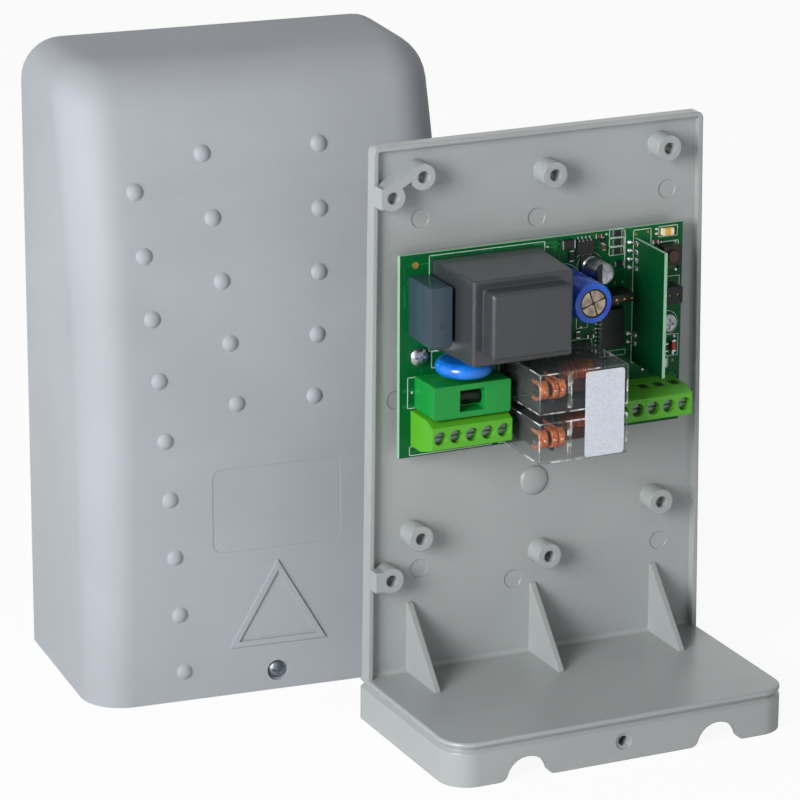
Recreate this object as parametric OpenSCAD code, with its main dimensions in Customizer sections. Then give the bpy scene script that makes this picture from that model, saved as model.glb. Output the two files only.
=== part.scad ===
// Wall-mounted control unit for a roller shutter motor.
// A moulded rear base carries the circuit board. The cover has been lifted off and stands
// beside it. X runs to the right, Y into the wall and Z up. Y is 0 on the wall, and the
// origin lies in the middle of the four wall screws. Heights below are over the foot.

/* [Rear base] */
// Height of the back plate over the foot
base_h = 174.5; // [170:0.5:184]
// Width of the skirt at the foot
skirt_w = 110.6; // [110:0.2:126]
// Depth of the skirt from the wall
skirt_d = 61.6; // [56:0.2:72]
// Height of the skirt, where the tray lies
skirt_h = 13.4; // [13:0.2:18]
// Radius of the skirt's front corners
skirt_r = 9; // [6:0.5:12]
// Wall of the skirt
skirt_wall = 2.2; // [1.8:0.1:3]
// Thickness of the back plate and of the tray
plate_t = 2.4; // [2:0.1:3]
// How much narrower each side of the plate is at its top
plate_draft = 1.8; // [0.5:0.1:2.5]
// Width of the rim round the plate
rim_t = 1.4; // [1:0.1:2]
// Height of the rim in front of the wall at its top end
rim_top = 4.2; // [3.6:0.1:5]
// Height of the rim in front of the wall at the tray
rim_low = 5; // [4:0.1:6]
// Depth of the seating groove round the skirt
groove_d = 1.2; // [0.6:0.1:1.5]
// Width of the seating groove
groove_w = 2.2; // [1.6:0.1:2.6]
// Height of a gusset over the tray
gusset_h = 21.4; // [12:0.2:26]
// Reach of a gusset along the tray
gusset_d = 19.6; // [10:0.2:26]
// Thickness of a gusset
gusset_t = 1.8; // [1.2:0.1:3]
// Distance between two gussets
gusset_pitch = 40.6; // [30:0.2:44]

/* [Fixing points] */
// Distance between the wall screws across
fix_w = 79.6; // [74:0.2:84]
// Distance between the wall screws up the plate
fix_h = 109.1; // [105:0.1:112]
// Upper wall screws, measured down from the top of the plate
fix_top = 8.8; // [6:0.1:12]
// Hole for a wall screw
fix_d = 3.5; // [3:0.1:4.5]
// Outer diameter of a screw boss
boss_d = 7.8; // [7:0.1:9]
// Front face of the bosses, measured from the wall
boss_y = 8.8; // [7:0.1:11]
// Distance between the two side holes up the plate
side_h = 115.5; // [112:0.5:118]
// Side holes, measured from the edge of the plate
side_in = 4.6; // [4:0.1:5.4]
// Distance between the two middle holes up the plate
middle_h = 116.8; // [113:0.2:120]
// Middle holes, measured from the centre line
middle_x = 2.4; // [-8:0.2:8]

/* [Cable entries] */
// Cable entries, measured from the centre line
entry_x = 31; // [24:0.5:35]
// Radius of a cable entry
entry_r = 6.7; // [4.5:0.1:7.4]
// Rounding where an entry opens at the foot
entry_lip = 2.6; // [1:0.1:3]

/* [Cover] */
// Height of the cover
cover_h = 190.5; // [188:0.5:205]
// Wall of the cover
cover_wall = 2.2; // [1.8:0.1:3]
// Play between the cover and the skirt
cover_play = 0.4; // [0.3:0.05:1]
// Rounding of the upright front edges at the foot
edge_r = 13; // [9:0.5:16]
// Growth of that rounding towards the top
edge_grow = 2.8; // [0:0.1:4]
// Rounding round the top
top_r = 12; // [8:0.5:15]
// Height where the front starts to curve back
bow_z = 75; // [70:1:100]
// Radius of the curved part of the front
bow_r = 310; // [280:5:450]
// Diameter of a grip dome
dome_d = 5; // [3:0.1:6]
// Height of a grip dome
dome_h = 1.1; // [0.5:0.1:1.6]
// Distance between two rows of domes
dome_pitch = 18.2; // [12:0.1:19]
// Lowest dome over the foot
dome_low = 9.2; // [7:0.1:12]
// Standing place of the cover, its middle at the back, to the right
cover_x = -62.6; // [-75:0.1:-60]
// Standing place of the cover behind the wall plane
cover_y = 95.7; // [90:0.1:120]
// Turn of the standing cover
cover_turn = -4.9; // [-8:0.1:0]

/* [Cover screw] */
// Height of the screw over the foot
lock_z = 6; // [5.6:0.1:6.4]
// Thread of the screw
lock_d = 2.9; // [2.4:0.1:3.4]
// Head of the screw
lock_head_d = 5.3; // [4.8:0.1:6]
// Length of the thread
lock_len = 12; // [9:0.5:14]

/* [Circuit board] */
// Width of the circuit board
board_w = 92; // [91:0.2:96]
// Height of the circuit board
board_h = 60.9; // [60.5:0.1:66]
// Thickness of the circuit board
board_t = 1.6; // [1:0.1:2]
// Left edge of the board, measured from the centre line
board_left = 46.6; // [45.6:0.1:47.4]
// Lower edge of the board over the lower wall screws
board_low = 25.3; // [19.4:0.1:29.4]
// Distance from the plate to the board
standoff = 3.6; // [2.6:0.1:5]
// Board screws, measured from the edges of the board
board_screw_in = 5.9; // [5:0.1:6.4]
// Board screws over the lower edge of the board
board_screw_v = 30.4; // [29.6:0.1:31]

/* [Relays] */
// Length of a relay
relay_l = 28.9; // [28.8:0.1:30]
// Width of a relay
relay_w = 12.4; // [12:0.1:12.8]
// Height of a relay over the board
relay_h = 25; // [23:0.5:29]
// Distance between the two relays
relay_pitch = 14.8; // [14.6:0.1:15.4]
// Wall of a relay's clear case
relay_wall = 0.8; // [0.6:0.1:1]
// Diameter of the winding wire as drawn
wire_d = 0.6; // [0.4:0.05:0.6]
// Number of loops in the outer layer
coil_loops = 10; // [6:1:10]
// Distance between two loops
coil_pitch = 1.02; // [1.01:0.01:1.02]

/* [Fuse] */
// Length of the fuse
fuse_l = 20; // [18:0.5:20.5]
// Diameter of the fuse
fuse_d = 5.2; // [4.6:0.1:5.4]
// Length of the fuse holder
holder_l = 24.5; // [24:0.1:25.6]
// Width of the fuse holder
holder_w = 9.9; // [9.6:0.1:10]
// Height of the fuse holder over the board
holder_h = 13.2; // [12.8:0.1:15]

/* [Terminals] */
// Distance between two terminals
pole_pitch = 5.08; // [5:0.01:5.1]
// Height of the terminal blocks over the board
block_h = 14.6; // [13:0.1:16]
// Head of a terminal screw
pole_screw_d = 3.6; // [3:0.1:3.8]

/* [Components] */
// Width of the transformer on the board
trafo_w = 34.3; // [32:0.1:34.6]
// Size of the transformer up the board
trafo_v = 26.7; // [24:0.1:27]
// Height of the transformer's body
trafo_h = 24.4; // [20:0.2:27]
// Height of the raised panel on the transformer
trafo_panel = 6.2; // [3:0.1:7]
// Height of the film capacitor
film_h = 14.7; // [10:0.1:18]
// Diameter of the varistor disc
disc_d = 17; // [14:0.2:17.4]
// Thickness of the varistor disc
disc_t = 4.5; // [3.5:0.1:4.8]
// Diameter of the large capacitor
big_d = 12.3; // [10:0.1:13]
// Height of the large capacitor
big_h = 20; // [16:0.5:24]
// Diameter of the small capacitor
small_d = 6.3; // [5:0.1:6.6]
// Height of the small capacitor
small_h = 10.2; // [7:0.1:12]
// Height of the receiver board over the main board
receiver_h = 19.4; // [15:0.1:22]
// Length of the receiver board
receiver_l = 37.8; // [30:0.2:39]
// Width and height of the cap on the setting pins
jumper_w = 5.3; // [4.9:0.1:5.6]
// Side of the push switch
switch_w = 6; // [5:0.1:6.4]
// Travel of the push button
switch_travel = 0.25; // [0.15:0.05:0.4]

/* [Hidden] */
$fn = 48;

// Excess by which a cut runs past the face that it opens
over = 1;
// Play of a piece in the piece that guides it
fit = 0.1;
// Gap between a resting piece and its stop
rest = 0.12;

// Colours of the plastics and metals
base_grey = "#a9adad";
cover_grey = "#9ca1a6";
steel = "#b9bcc0";
tin = "#d4d6d8";
copper = "#c06a3a";
black = "#1d1e20";

// Rear base
skirt_half = skirt_w / 2;
plate_half = skirt_half - 0.3;
plate_corner = 2;
groove_z = skirt_h - plate_t - 0.9;
tray_edge_r = 0.8;
tray_fillet = 1.5;
lip_lap = 0.03;
fix_low = base_h - fix_top - fix_h;
unit_z = fix_low + fix_h / 2;
side_drop = 8.4;
middle_drop = 7.85;
gate_d = 9;
gate_t = 0.3;
gate_rise = 10.7;

// Cover
cover_half = skirt_half + cover_play + cover_wall;
cover_d = skirt_d + cover_play + 0.1 + cover_wall;
bow_steps = 12;
round_steps = 8;
inner_steps = 4;
edge_steps = 8;
outer_low = 28.7;
outer_rise = 1.24;
inner_low = 4.6;
inner_rise = 1.47;
outer_rows = 9;
inner_rows = 5;
dome_row = 18;
label_w = 40;
label_h = 26;
label_z = 58.4;
label_r = 3;
label_d = 0.1;
sign_side = 30.4;
sign_band = 1.7;
sign_low = 15;
sign_t = 0.6;

// Cover screw
lock_hole_d = lock_d + 0.2;
lock_recess_d = lock_head_d + 1.2;
lock_recess = 1.2;
lock_head = 1.5;
lock_boss_d = lock_hole_d + 3.9;
lock_boss_len = 8;

// Board
board_back = plate_t + standoff;
board_front = board_back + board_t;
board_z = fix_low + board_low;
board_screw_d = 2.3;
board_hole_d = 3.2;
board_head_d = 5.5;
board_head_t = 2.1;
board_screw_u = [board_screw_in, board_w - 4.7];
post_d = 7;
peg_d = 4;
peg_in = 4;

// Relays, measured in each relay from its left end, its middle line and the board
relay_u = 32.6;
relay_v = [7.25, 7.25 + relay_pitch];
relay_floor = 1.6;
relay_plug = 2.4;
relay_inner_w = relay_w - 2 * relay_wall - 2 * fit;
yoke_t = 1.2;
yoke_w = 8.6;
yoke_x = 9.3;
coil_x0 = yoke_x + yoke_t + 0.1;
flange_t = 0.8;
flange_h = 12.2;
coil_lead = wire_d;
coil_bend = 0.7;
coil_gap = 0.05;
drum_r = 3.5;
sleeve_t = 0.45;
coil_r = drum_r + wire_d / 2 + coil_gap;
coil_z = relay_plug + yoke_t + flange_h / 2;
coil_slope = atan(coil_pitch / (2 * PI * coil_r));
coil_len = 2 * coil_lead + 2 * coil_bend * cos(coil_slope) + coil_loops * coil_pitch;
rings = 24;
sides = 6;
coil_x1 = coil_x0 + flange_t + coil_len;
core_d = 4;
pole_d = 7;
pole_t = 0.8;
pole_x = coil_x1 + flange_t + pole_t;
pole_gap = 0.65;
armature_t = 0.8;
armature_x = pole_x + pole_gap;
armature_w = 8;
hinge_h = relay_plug + yoke_t / 2;
pin_d = 0.8;
card_h = 18.7;
card_t = 1.5;
card_w = 3;
spring_x = 3.8;
spring_t = 0.3;
spring_w = 4.4;
open_x = 1.2;
closed_x = 5.7;
blade_t = 0.4;
blade_h = 18.2;
contact_h = 15.5;
contact_d = 2.6;
rivet_h = 0.68;

// Fuse
holder_u = 4.8;
holder_v = 14.6;
holder_base_h = 4.6;
fuse_z = 8.2;
cap_l = 5;
clip_l = 4.2;
clip_t = 0.4;
clip_gap = 0.2;
window_l = 8;
window_w = 6.4;

// Terminals
block_v = 3.7;
block_left_u = 3.6;
block_end = 0.1;
screw_well = 3.4;
screw_v = 9.6;
pole_screw_t = 1.4;
pole_thread_d = 2.4;
poles = [5, 2, 3];
block_gap = 0.05;
block_right_in = 3.5;
block_right_u = board_w - block_right_in - (poles[2] * pole_pitch + 2 * block_end);
block_middle_u = block_right_u - block_gap - (poles[1] * pole_pitch + 2 * block_end);
block_u = [block_left_u, block_middle_u, block_right_u];
cage_h = 7;
cage_w = 3.9;
cage_t = 0.6;
cage_v = 5.6;

// Board parts, measured from the lower left corner of the board
trafo_u = 10.2;
trafo_v0 = 32.3;
trafo_taper = 1.3;
trafo_r = 0.8;
film_u = 2.8;
film_v0 = 36.8;
film_w = 6.8;
film_v = 17.9;
disc_u = 16.3;
disc_v = 28.7;
lead_d = 0.8;
lead_pitch = 7.5;
big_u = 52.2;
big_v = 45.9;
small_u = 61.2;
small_v = 51;
pin_w = 0.64;
pin_pitch = 2.54;
header_v = 42.2;
header_pin_h = 8.5;
housing_t = 2.5;
jumper_u = board_w - 8.1;
jumper_v = 41.2;
jumper_h = 8.4;
receiver_u = board_w - 16.6;
header_u = receiver_u - 9.5;
receiver_v = 20.1;
receiver_t = 1;
receiver_low = 0.9;
switch_u = board_w - 5.1;
switch_v = 51.7;
switch_h = 3.4;
button_d = 3.4;
button_out = 0.9;
switch_floor = 1.2;
button_gap = 0.05;
pin_drop = 0.5;
cap_lift = 0.3;
pin_row_high = 1.4;
pin_row_low = 6;
pin_lap = 2.2;
sticker_u = 14.8;
sticker_w = 12.7;
sticker_low = 0.45;
sticker_high = 0.95;
sticker_t = 0.15;
radio_v = 8;
radio_l = 9;
radio_low = 5.5;
radio_w = 5.5;
radio_t = 1.5;
tuner_v = 27;
tuner_z = 9.5;
tuner_d = 6;
tuner_t = 4.2;
led_w = 3.9;
led_v = 2.1;
led_h = 1.2;
led_in = 3.45;
led_top = 1.25;
diode_u = board_w - 2.8;
diode_v = 21.6;
diode_d = 1.5;
diode_l = 3.6;
diode_end_d = 1.8;
diode_end = 0.5;
lead_w = 0.42;
lead_t = 0.2;
lead_out = 1.2;
lead_rise = 1.2;
lead_step = 1.27;
chip_lift = 0.1;
logic_at = [receiver_u - 7.2, 31.6];
driver_at = [59.1, 57];
resistor_l = 3.2;
resistor_w = 1.6;
resistor_h = 0.6;
resistor_at = [receiver_u - 7, 53.6];
resistor_pitch = 2.7;
sensor_at = [board_w - 6.9, 18];
sensor_l = 2;
sensor_h = 1.1;

// Height over the foot, brought into the unit's own frame
module unit() {
    translate([0, 0, -unit_z])
        children();
}

// Board frame: u to the right, v up the board, height away from the board
module on_board() {
    unit()
        translate([-board_left, -board_front, board_z])
            rotate([90, 0, 0])
                children();
}

// Relay frame: length from the left end, middle line, height over the board
module in_relay(k) {
    on_board()
        translate([relay_u, relay_v[k], 0])
            children();
}

// Frame of the standing cover, with its back on y = 0 and its foot on z = 0
module at_cover() {
    unit()
        translate([cover_x, cover_y, 0])
            rotate([0, 0, cover_turn])
                children();
}

// Round bar or bore from y0 towards the viewer
module bar_y(d, y0, len) {
    translate([0, y0, 0])
        rotate([90, 0, 0])
            cylinder(d = d, h = len);
}

// Upright box given by its low corner and its far corner
module block(a, b) {
    translate(a)
        cube([b[0] - a[0], b[1] - a[1], b[2] - a[2]]);
}

// Plan of a box with two round front corners and a straight back on y = 0
module plan(half, depth, r) {
    translate([-half, -depth + r])
        square([2 * half, depth - r]);
    translate([-half + r, -depth])
        square([2 * (half - r), r + 0.01]);
    for (s = [-1, 1])
        translate([s * (half - r), -depth + r])
            circle(r);
}

// Sweeps a profile round the skirt: x outward from its face, y up
module round_skirt() {
    for (s = [0, 1])
        mirror([s, 0, 0]) {
            translate([skirt_half, 0, 0])
                rotate([90, 0, 0])
                    linear_extrude(skirt_d - skirt_r)
                        children();
            translate([skirt_half - skirt_r, skirt_r - skirt_d, 0])
                rotate([0, 0, -90])
                    rotate_extrude(angle = 90)
                        translate([skirt_r, 0])
                            children();
            translate([skirt_half - skirt_r, -skirt_d, 0])
                rotate([90, 0, -90])
                    linear_extrude(skirt_half - skirt_r)
                        children();
        }
}

// Half width of the back plate at a height over the foot
function plate_at(z) = plate_half - plate_draft * (z - skirt_h) / (base_h - skirt_h);

// Outline of the back plate above the tray, drawn in by a given width
module plate_outline(inset) {
    low = plate_at(skirt_h) - inset;
    high = plate_at(base_h) - inset;
    r = max(plate_corner - inset, 0.6);
    top = base_h - inset;
    corner = [for (a = [0 : 15 : 90]) [high - r + r * cos(a), top - r + r * sin(a)]];
    mirrored = [for (i = [len(corner) - 1 : -1 : 0]) [-corner[i][0], corner[i][1]]];
    polygon(concat([[-low, skirt_h - 1], [low, skirt_h - 1]], corner, mirrored));
}

// Where the bosses of the fixing points stand, as x and height
corner_points = [for (sx = [-1, 1], k = [0, 1]) [sx * fix_w / 2, fix_low + k * fix_h]];
side_z = [for (k = [0, 1]) unit_z - side_drop + (k - 0.5) * side_h];
side_x = side_in - plate_at(base_h) - rim_t / 2;
side_points = [for (z = side_z) [side_x, z]];
middle_points = [for (k = [0, 1]) [middle_x, unit_z - middle_drop + (k - 0.5) * middle_h]];
board_points = [for (u = board_screw_u) [u - board_left, board_z + board_screw_v]];
peg_points = [for (u = [peg_in, board_w - peg_in], v = [peg_in, board_h - peg_in])
    [u - board_left, board_z + v]];
ejector_places = [[-37.8, 40.55], [-0.3, 36.75], [42.6, 40.55], [-45.3, -13.05],
    [-37.6, -66.05], [-6.6, -74.05], [42.5, -69.05]];
ejector_points = [for (p = ejector_places) [p[0], unit_z + p[1]]];
ejector_d = 5.5;
ejector_cut = 0.2;

module at_points(points) {
    for (p = points)
        translate([p[0], 0, p[1]])
            children();
}

module skirt() {
    difference() {
        linear_extrude(skirt_h)
            plan(skirt_half, skirt_d, skirt_r);
        translate([0, -plate_t, -over])
            linear_extrude(skirt_h - plate_t + over)
                plan(skirt_half - skirt_wall, skirt_d - skirt_wall - plate_t, skirt_r - skirt_wall);
        round_skirt()
            polygon([[over, groove_z], [0, groove_z], [-groove_d, groove_z + 0.4 * groove_w],
                [0, groove_z + groove_w], [over, groove_z + groove_w]]);
        round_skirt()
            difference() {
                translate([-tray_edge_r, skirt_h - tray_edge_r])
                    square(tray_edge_r + over);
                translate([-tray_edge_r, skirt_h - tray_edge_r])
                    circle(tray_edge_r);
            }
    }
}

// Half-round cable entry with a rounded mouth at the foot
module entry_cut() {
    mouth = sqrt(pow(entry_r + entry_lip, 2) - pow(entry_lip, 2)) - lip_lap;
    shoulder = entry_lip * entry_r / (entry_r + entry_lip);
    translate([0, skirt_wall + over - skirt_d, 0])
        rotate([90, 0, 0])
            linear_extrude(skirt_wall + 2 * over) {
                circle(entry_r);
                difference() {
                    translate([-mouth, -over])
                        square([2 * mouth, shoulder + over]);
                    for (s = [-1, 1])
                        translate([s * mouth, entry_lip])
                            circle(entry_lip);
                }
            }
}

module back_plate() {
    rotate([90, 0, 0])
        linear_extrude(plate_t)
            plate_outline(0);
    intersection() {
        rotate([90, 0, 0])
            linear_extrude(rim_low + over)
                difference() {
                    plate_outline(0);
                    plate_outline(rim_t);
                }
        rotate([90, 0, 90])
            translate([0, 0, -skirt_half])
                linear_extrude(skirt_w)
                    polygon([[0, skirt_h - 1], [-rim_low, skirt_h - 1], [-rim_top, base_h],
                        [0, base_h]]);
    }
}

module gusset() {
    translate([-gusset_t / 2, 0, skirt_h - 0.1])
        rotate([90, 0, 90])
            linear_extrude(gusset_t)
                polygon([[-0.1, 0], [-plate_t - gusset_d, 0], [-plate_t - gusset_d, 0.6],
                    [-plate_t - 0.9, gusset_h], [-plate_t - 0.3, gusset_h + 0.4], [-0.1, gusset_h]]);
}

// A side boss joins the rim, and the upper one is tied to its neighbour by a web
module side_boss(p) {
    edge = plate_at(p[1]);
    bar_y(boss_d, 0, boss_y);
    translate([-edge - p[0] + 0.2, -boss_y, -boss_d / 2 + 0.8])
        cube([edge + p[0] - 0.2, boss_y, boss_d - 1.6]);
}

module corner_web() {
    a = side_points[1];
    b = corner_points[1];
    run = norm(b - a);
    translate([a[0], 0, a[1]])
        rotate([0, -atan2(b[1] - a[1], b[0] - a[0]), 0])
            translate([0, -boss_y, boss_d / 2 - 3])
                cube([run, boss_y, 3]);
}

module rear_base() {
    color(base_grey)
        unit()
            difference() {
                union() {
                    skirt();
                    back_plate();
                    for (k = [-1, 0, 1])
                        translate([k * gusset_pitch, 0, 0])
                            gusset();
                    translate([-plate_at(skirt_h), -plate_t, skirt_h])
                        rotate([90, 0, 90])
                            linear_extrude(2 * plate_at(skirt_h))
                                difference() {
                                    translate([-tray_fillet, -0.1])
                                        square([tray_fillet + 0.1, tray_fillet + 0.1]);
                                    translate([-tray_fillet, tray_fillet])
                                        circle(tray_fillet);
                                }
                    at_points(concat(corner_points, middle_points))
                        bar_y(boss_d, 0, boss_y);
                    for (p = side_points)
                        translate([p[0], 0, p[1]])
                            side_boss(p);
                    corner_web();
                    at_points(board_points)
                        bar_y(post_d, 0, board_back);
                    at_points(peg_points)
                        bar_y(peg_d, 0, board_back);
                    translate([0, 0, lock_z])
                        bar_y(lock_boss_d, lock_boss_len - skirt_d, lock_boss_len - 0.5);
                    translate([0, -plate_t, fix_low + gate_rise])
                        bar_y(gate_d, 0.5, gate_t + 0.5);
                }
                at_points(concat(corner_points, side_points, middle_points))
                    bar_y(fix_d, over, boss_y + 2 * over);
                at_points(board_points)
                    bar_y(board_screw_d + 0.1, 0.1 - plate_t, board_back);
                at_points(ejector_points)
                    bar_y(ejector_d, ejector_cut - plate_t, over);
                for (s = [-1, 1])
                    translate([s * entry_x, 0, 0])
                        entry_cut();
                translate([0, 0, lock_z]) {
                    bar_y(lock_hole_d, lock_boss_len + over - skirt_d, lock_boss_len + 2 * over);
                    bar_y(lock_hole_d + 1.9, 0.4 - skirt_d, over);
                }
            }
}

// How far the cover's front lies behind its foot at a height
function bow(z) = z <= bow_z ? 0 : bow_r - sqrt(bow_r * bow_r - (z - bow_z) * (z - bow_z));
function edge_at(z) = edge_r + edge_grow * z / cover_h;

// Heights of the slices and how far each is drawn in by the round top, for a form that
// lies a given distance inside the outer skin
function cover_slices(skin, bows, rounds) = let (start = cover_h - top_r, r = top_r - skin)
    concat(
        [[0, 0]],
        [for (i = [0 : bows]) [bow_z + (start - bow_z) * i / bows, 0]],
        [for (i = [1 : rounds]) let (a = 90 * i / rounds)
            [start + r * sin(a), r * (1 - cos(a))]]);

// Points of one slice: the two back corners, then the round front corners from right to left
function cover_ring(z, half, depth, r, back, n) = concat(
    [[-half, back, z], [half, back, z]],
    [for (s = [1, -1], i = [0 : n]) let (a = s > 0 ? 90 * i / n : 90 - 90 * i / n)
        [s * (half - r + r * cos(a)), r - depth - r * sin(a), z]]);

// Solid body lofted through the slices, flat at the foot and at the top
module cover_form(skin, back, bows, rounds, n) {
    slices = cover_slices(skin, bows, rounds);
    low = skin > 0 ? -over : 0;
    rows = [for (s = slices) cover_ring(s[0] > 0 ? s[0] : low, cover_half - skin - s[1],
        cover_d - bow(s[0]) - skin - s[1], max(edge_at(s[0]) - skin - s[1], 0.6), back, n)];
    count = 2 * n + 4;
    last = (len(rows) - 1) * count;
    polyhedron([for (row = rows) each row], concat(
        [[for (i = [count - 1 : -1 : 0]) i]],
        [for (k = [0 : len(rows) - 2], i = [0 : count - 1])
            let (a = k * count + i, b = k * count + (i + 1) % count)
            for (f = [[a, b + count, a + count], [a, b, b + count]]) f],
        [[for (i = [0 : count - 1]) last + i]]));
}

// Ball that stands proud of the front as a low dome
module dome(x, z) {
    ball = (dome_d * dome_d / 4 + dome_h * dome_h) / (2 * dome_h);
    translate([x, bow(z) - cover_d + ball - dome_h, z])
        rotate([90, 0, 0])
            sphere(ball);
}

module grip_domes() {
    for (k = [0 : outer_rows - 1], s = [-1, 1]) {
        z = dome_low + k * dome_pitch;
        dome(s * (outer_low + outer_rise * z / dome_row), z);
    }
    for (k = [0 : inner_rows - 1], s = [-1, 1]) {
        z = dome_low + (k + 4.5) * dome_pitch;
        dome(s * (inner_low + inner_rise * z / dome_row), z);
    }
}

// Raised triangular frame, left plain
module sign_frame() {
    rise = sign_side * sqrt(3) / 2;
    inner = sign_side - 2 * sqrt(3) * sign_band;
    translate([0, sign_t / 2 + 0.1 - cover_d, sign_low])
        rotate([90, 0, 0])
            linear_extrude(sign_t + 0.4)
                difference() {
                    polygon([[-sign_side / 2, 0], [sign_side / 2, 0], [0, rise]]);
                    translate([0, sign_band])
                        polygon([[-inner / 2, 0], [inner / 2, 0], [0, inner * sqrt(3) / 2]]);
                }
}

module label_recess() {
    w = label_w / 2 - label_r;
    h = label_h / 2 - label_r;
    translate([0, label_d - cover_d, label_z])
        rotate([90, 0, 0])
            linear_extrude(over) {
                square([2 * w, label_h], center = true);
                square([label_w, 2 * h], center = true);
                for (sx = [-1, 1], sy = [-1, 1])
                    translate([sx * w, sy * h])
                        circle(label_r);
            }
}

module front_cover() {
    color(cover_grey)
        at_cover()
            difference() {
                union() {
                    cover_form(0, 0, bow_steps, round_steps, edge_steps);
                    grip_domes();
                    sign_frame();
                }
                cover_form(cover_wall, over, inner_steps, inner_steps, inner_steps);
                label_recess();
                translate([0, 0, lock_z]) {
                    bar_y(lock_hole_d, cover_wall + over - cover_d, cover_wall + 2 * over);
                    bar_y(lock_recess_d, lock_recess - cover_d, over + lock_recess);
                }
            }
}

// Pan head with a cross, axis towards the viewer, the head's underside on y = 0
module cross_screw(head_d, head_t, thread_d, thread_len) {
    difference() {
        intersection() {
            bar_y(head_d, 0, head_t);
            translate([0, head_d * 0.72 - head_t, 0])
                sphere(head_d * 0.72);
        }
        for (a = [0, 90])
            rotate([0, a, 0])
                translate([-head_d * 0.3, -head_t - over, -0.35])
                    cube([head_d * 0.6, over + head_t * 0.5, 0.7]);
    }
    bar_y(thread_d, thread_len, thread_len + 0.01);
}

module cover_screw() {
    color(steel)
        at_cover()
            translate([0, lock_recess - cover_d, lock_z])
                cross_screw(lock_head_d, lock_head, lock_d, lock_len);
}

module circuit_board() {
    color("#0a6b3a")
        on_board()
            difference() {
                translate([0, 0, -board_t])
                    cube([board_w, board_h, board_t]);
                for (u = board_screw_u)
                    translate([u, board_screw_v, -board_t - over])
                        cylinder(d = board_hole_d, h = board_t + 2 * over);
            }
}

module board_screws() {
    color(steel)
        unit()
            at_points(board_points)
                translate([0, -board_front, 0])
                    cross_screw(board_head_d, board_head_t, board_screw_d, board_t + standoff - 0.4);
}

// Box with round upright edges, standing on z = 0
module rounded_box(w, l, h, r) {
    linear_extrude(h) {
        translate([r, 0])
            square([w - 2 * r, l]);
        translate([0, r])
            square([w, l - 2 * r]);
        for (x = [r, w - r], y = [r, l - r])
            translate([x, y])
                circle(r);
    }
}

// Potted block with drafted sides, wider at the board
module transformer() {
    color("#4a4d50")
        on_board()
            translate([trafo_u, trafo_v0, 0]) {
                hull() {
                    rounded_box(trafo_w, trafo_v, 1, trafo_r, $fn = 32);
                    translate([trafo_taper, trafo_taper / 2, trafo_h - 1.4])
                        rounded_box(trafo_w - 2 * trafo_taper, trafo_v - trafo_taper, 1, trafo_r,
                            $fn = 32);
                    translate([trafo_taper + 0.5, trafo_taper / 2 + 0.5, trafo_h - 0.1])
                        rounded_box(trafo_w - 2 * trafo_taper - 1, trafo_v - trafo_taper - 1, 0.1,
                            trafo_r, $fn = 32);
                }
                translate([trafo_taper + 3.2, 4, trafo_h - 0.2])
                    hull() {
                        rounded_box(trafo_w - 2 * trafo_taper - 6.4, trafo_v - 7.3,
                            trafo_panel - 0.4, 0.8, $fn = 32);
                        translate([0.6, 0.6, trafo_panel - 0.1])
                            rounded_box(trafo_w - 2 * trafo_taper - 7.6, trafo_v - 8.5, 0.3, 0.8,
                                $fn = 32);
                    }
            }
}

module film_capacitor() {
    color("#5f7783")
        on_board()
            translate([film_u, film_v0, 0])
                rounded_box(film_w, film_v, film_h, 0.5);
}

// Round disc that stands on two wires, its axis up the board
module varistor() {
    edge = disc_t / 2;
    lift = disc_d / 2 + 0.3;
    color("#1f6fd0")
        on_board()
            translate([disc_u, disc_v, 0]) {
                translate([0, 0, lift])
                    rotate([-90, 0, 0])
                        rotate_extrude() {
                            translate([0, -edge])
                                square([disc_d / 2 - edge, disc_t]);
                            intersection() {
                                translate([disc_d / 2 - edge, 0])
                                    circle(edge);
                                translate([disc_d / 2 - edge - 0.1, -edge])
                                    square([edge + 0.1, disc_t]);
                            }
                        }
                for (s = [-1, 1])
                    translate([s * lead_pitch / 2, 0, 0])
                        cylinder(d = lead_d, h = lift - 2);
            }
}

fuse_v = holder_v + holder_w / 2;
fuse_u0 = holder_u + (holder_l - fuse_l) / 2;
clip_half = fuse_d / 2 + clip_gap;
clip_top = fuse_z + 2;
clip_u = [fuse_u0 + (cap_l - clip_l) / 2, fuse_u0 + fuse_l - (cap_l + clip_l) / 2];

module fuse_base() {
    color("#12823a")
        on_board()
            translate([holder_u, holder_v, 0])
                rounded_box(holder_l, holder_w, holder_base_h, 0.6);
}

module fuse_clips() {
    color(tin)
        on_board()
            for (u = clip_u)
                translate([u, fuse_v, holder_base_h]) {
                    block([0, -clip_half - clip_t, 0], [clip_l, clip_half + clip_t, clip_t]);
                    for (s = [-1, 1])
                        translate([0, s * (clip_half + clip_t / 2) - clip_t / 2, 0])
                            cube([clip_l, clip_t, clip_top - holder_base_h]);
                }
}

// Pull-out carrier that holds the fuse from above and shows it through a window
module fuse_carrier() {
    low = holder_base_h + 0.3;
    slot = fuse_d + 2 * fit;
    clip_slot = 2 * (clip_half + clip_t + 0.3);
    color("#0c9a3c")
        on_board()
            difference() {
                translate([holder_u, holder_v, low])
                    rounded_box(holder_l, holder_w, holder_h - low, 0.6);
                translate([fuse_u0 - fit, fuse_v, fuse_z])
                    rotate([0, 90, 0])
                        cylinder(d = slot, h = fuse_l + 2 * fit);
                block([fuse_u0 - fit, fuse_v - slot / 2, low - over],
                    [fuse_u0 + fuse_l + fit, fuse_v + slot / 2, fuse_z]);
                for (u = clip_u)
                    block([u - 0.3, fuse_v - clip_slot / 2, low - over],
                        [u + clip_l + 0.3, fuse_v + clip_slot / 2, clip_top + 0.4]);
                translate([holder_u + holder_l / 2, fuse_v, fuse_z])
                    block([-window_l / 2, -window_w / 2, 0], [window_l / 2, window_w / 2, holder_h]);
            }
}

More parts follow.
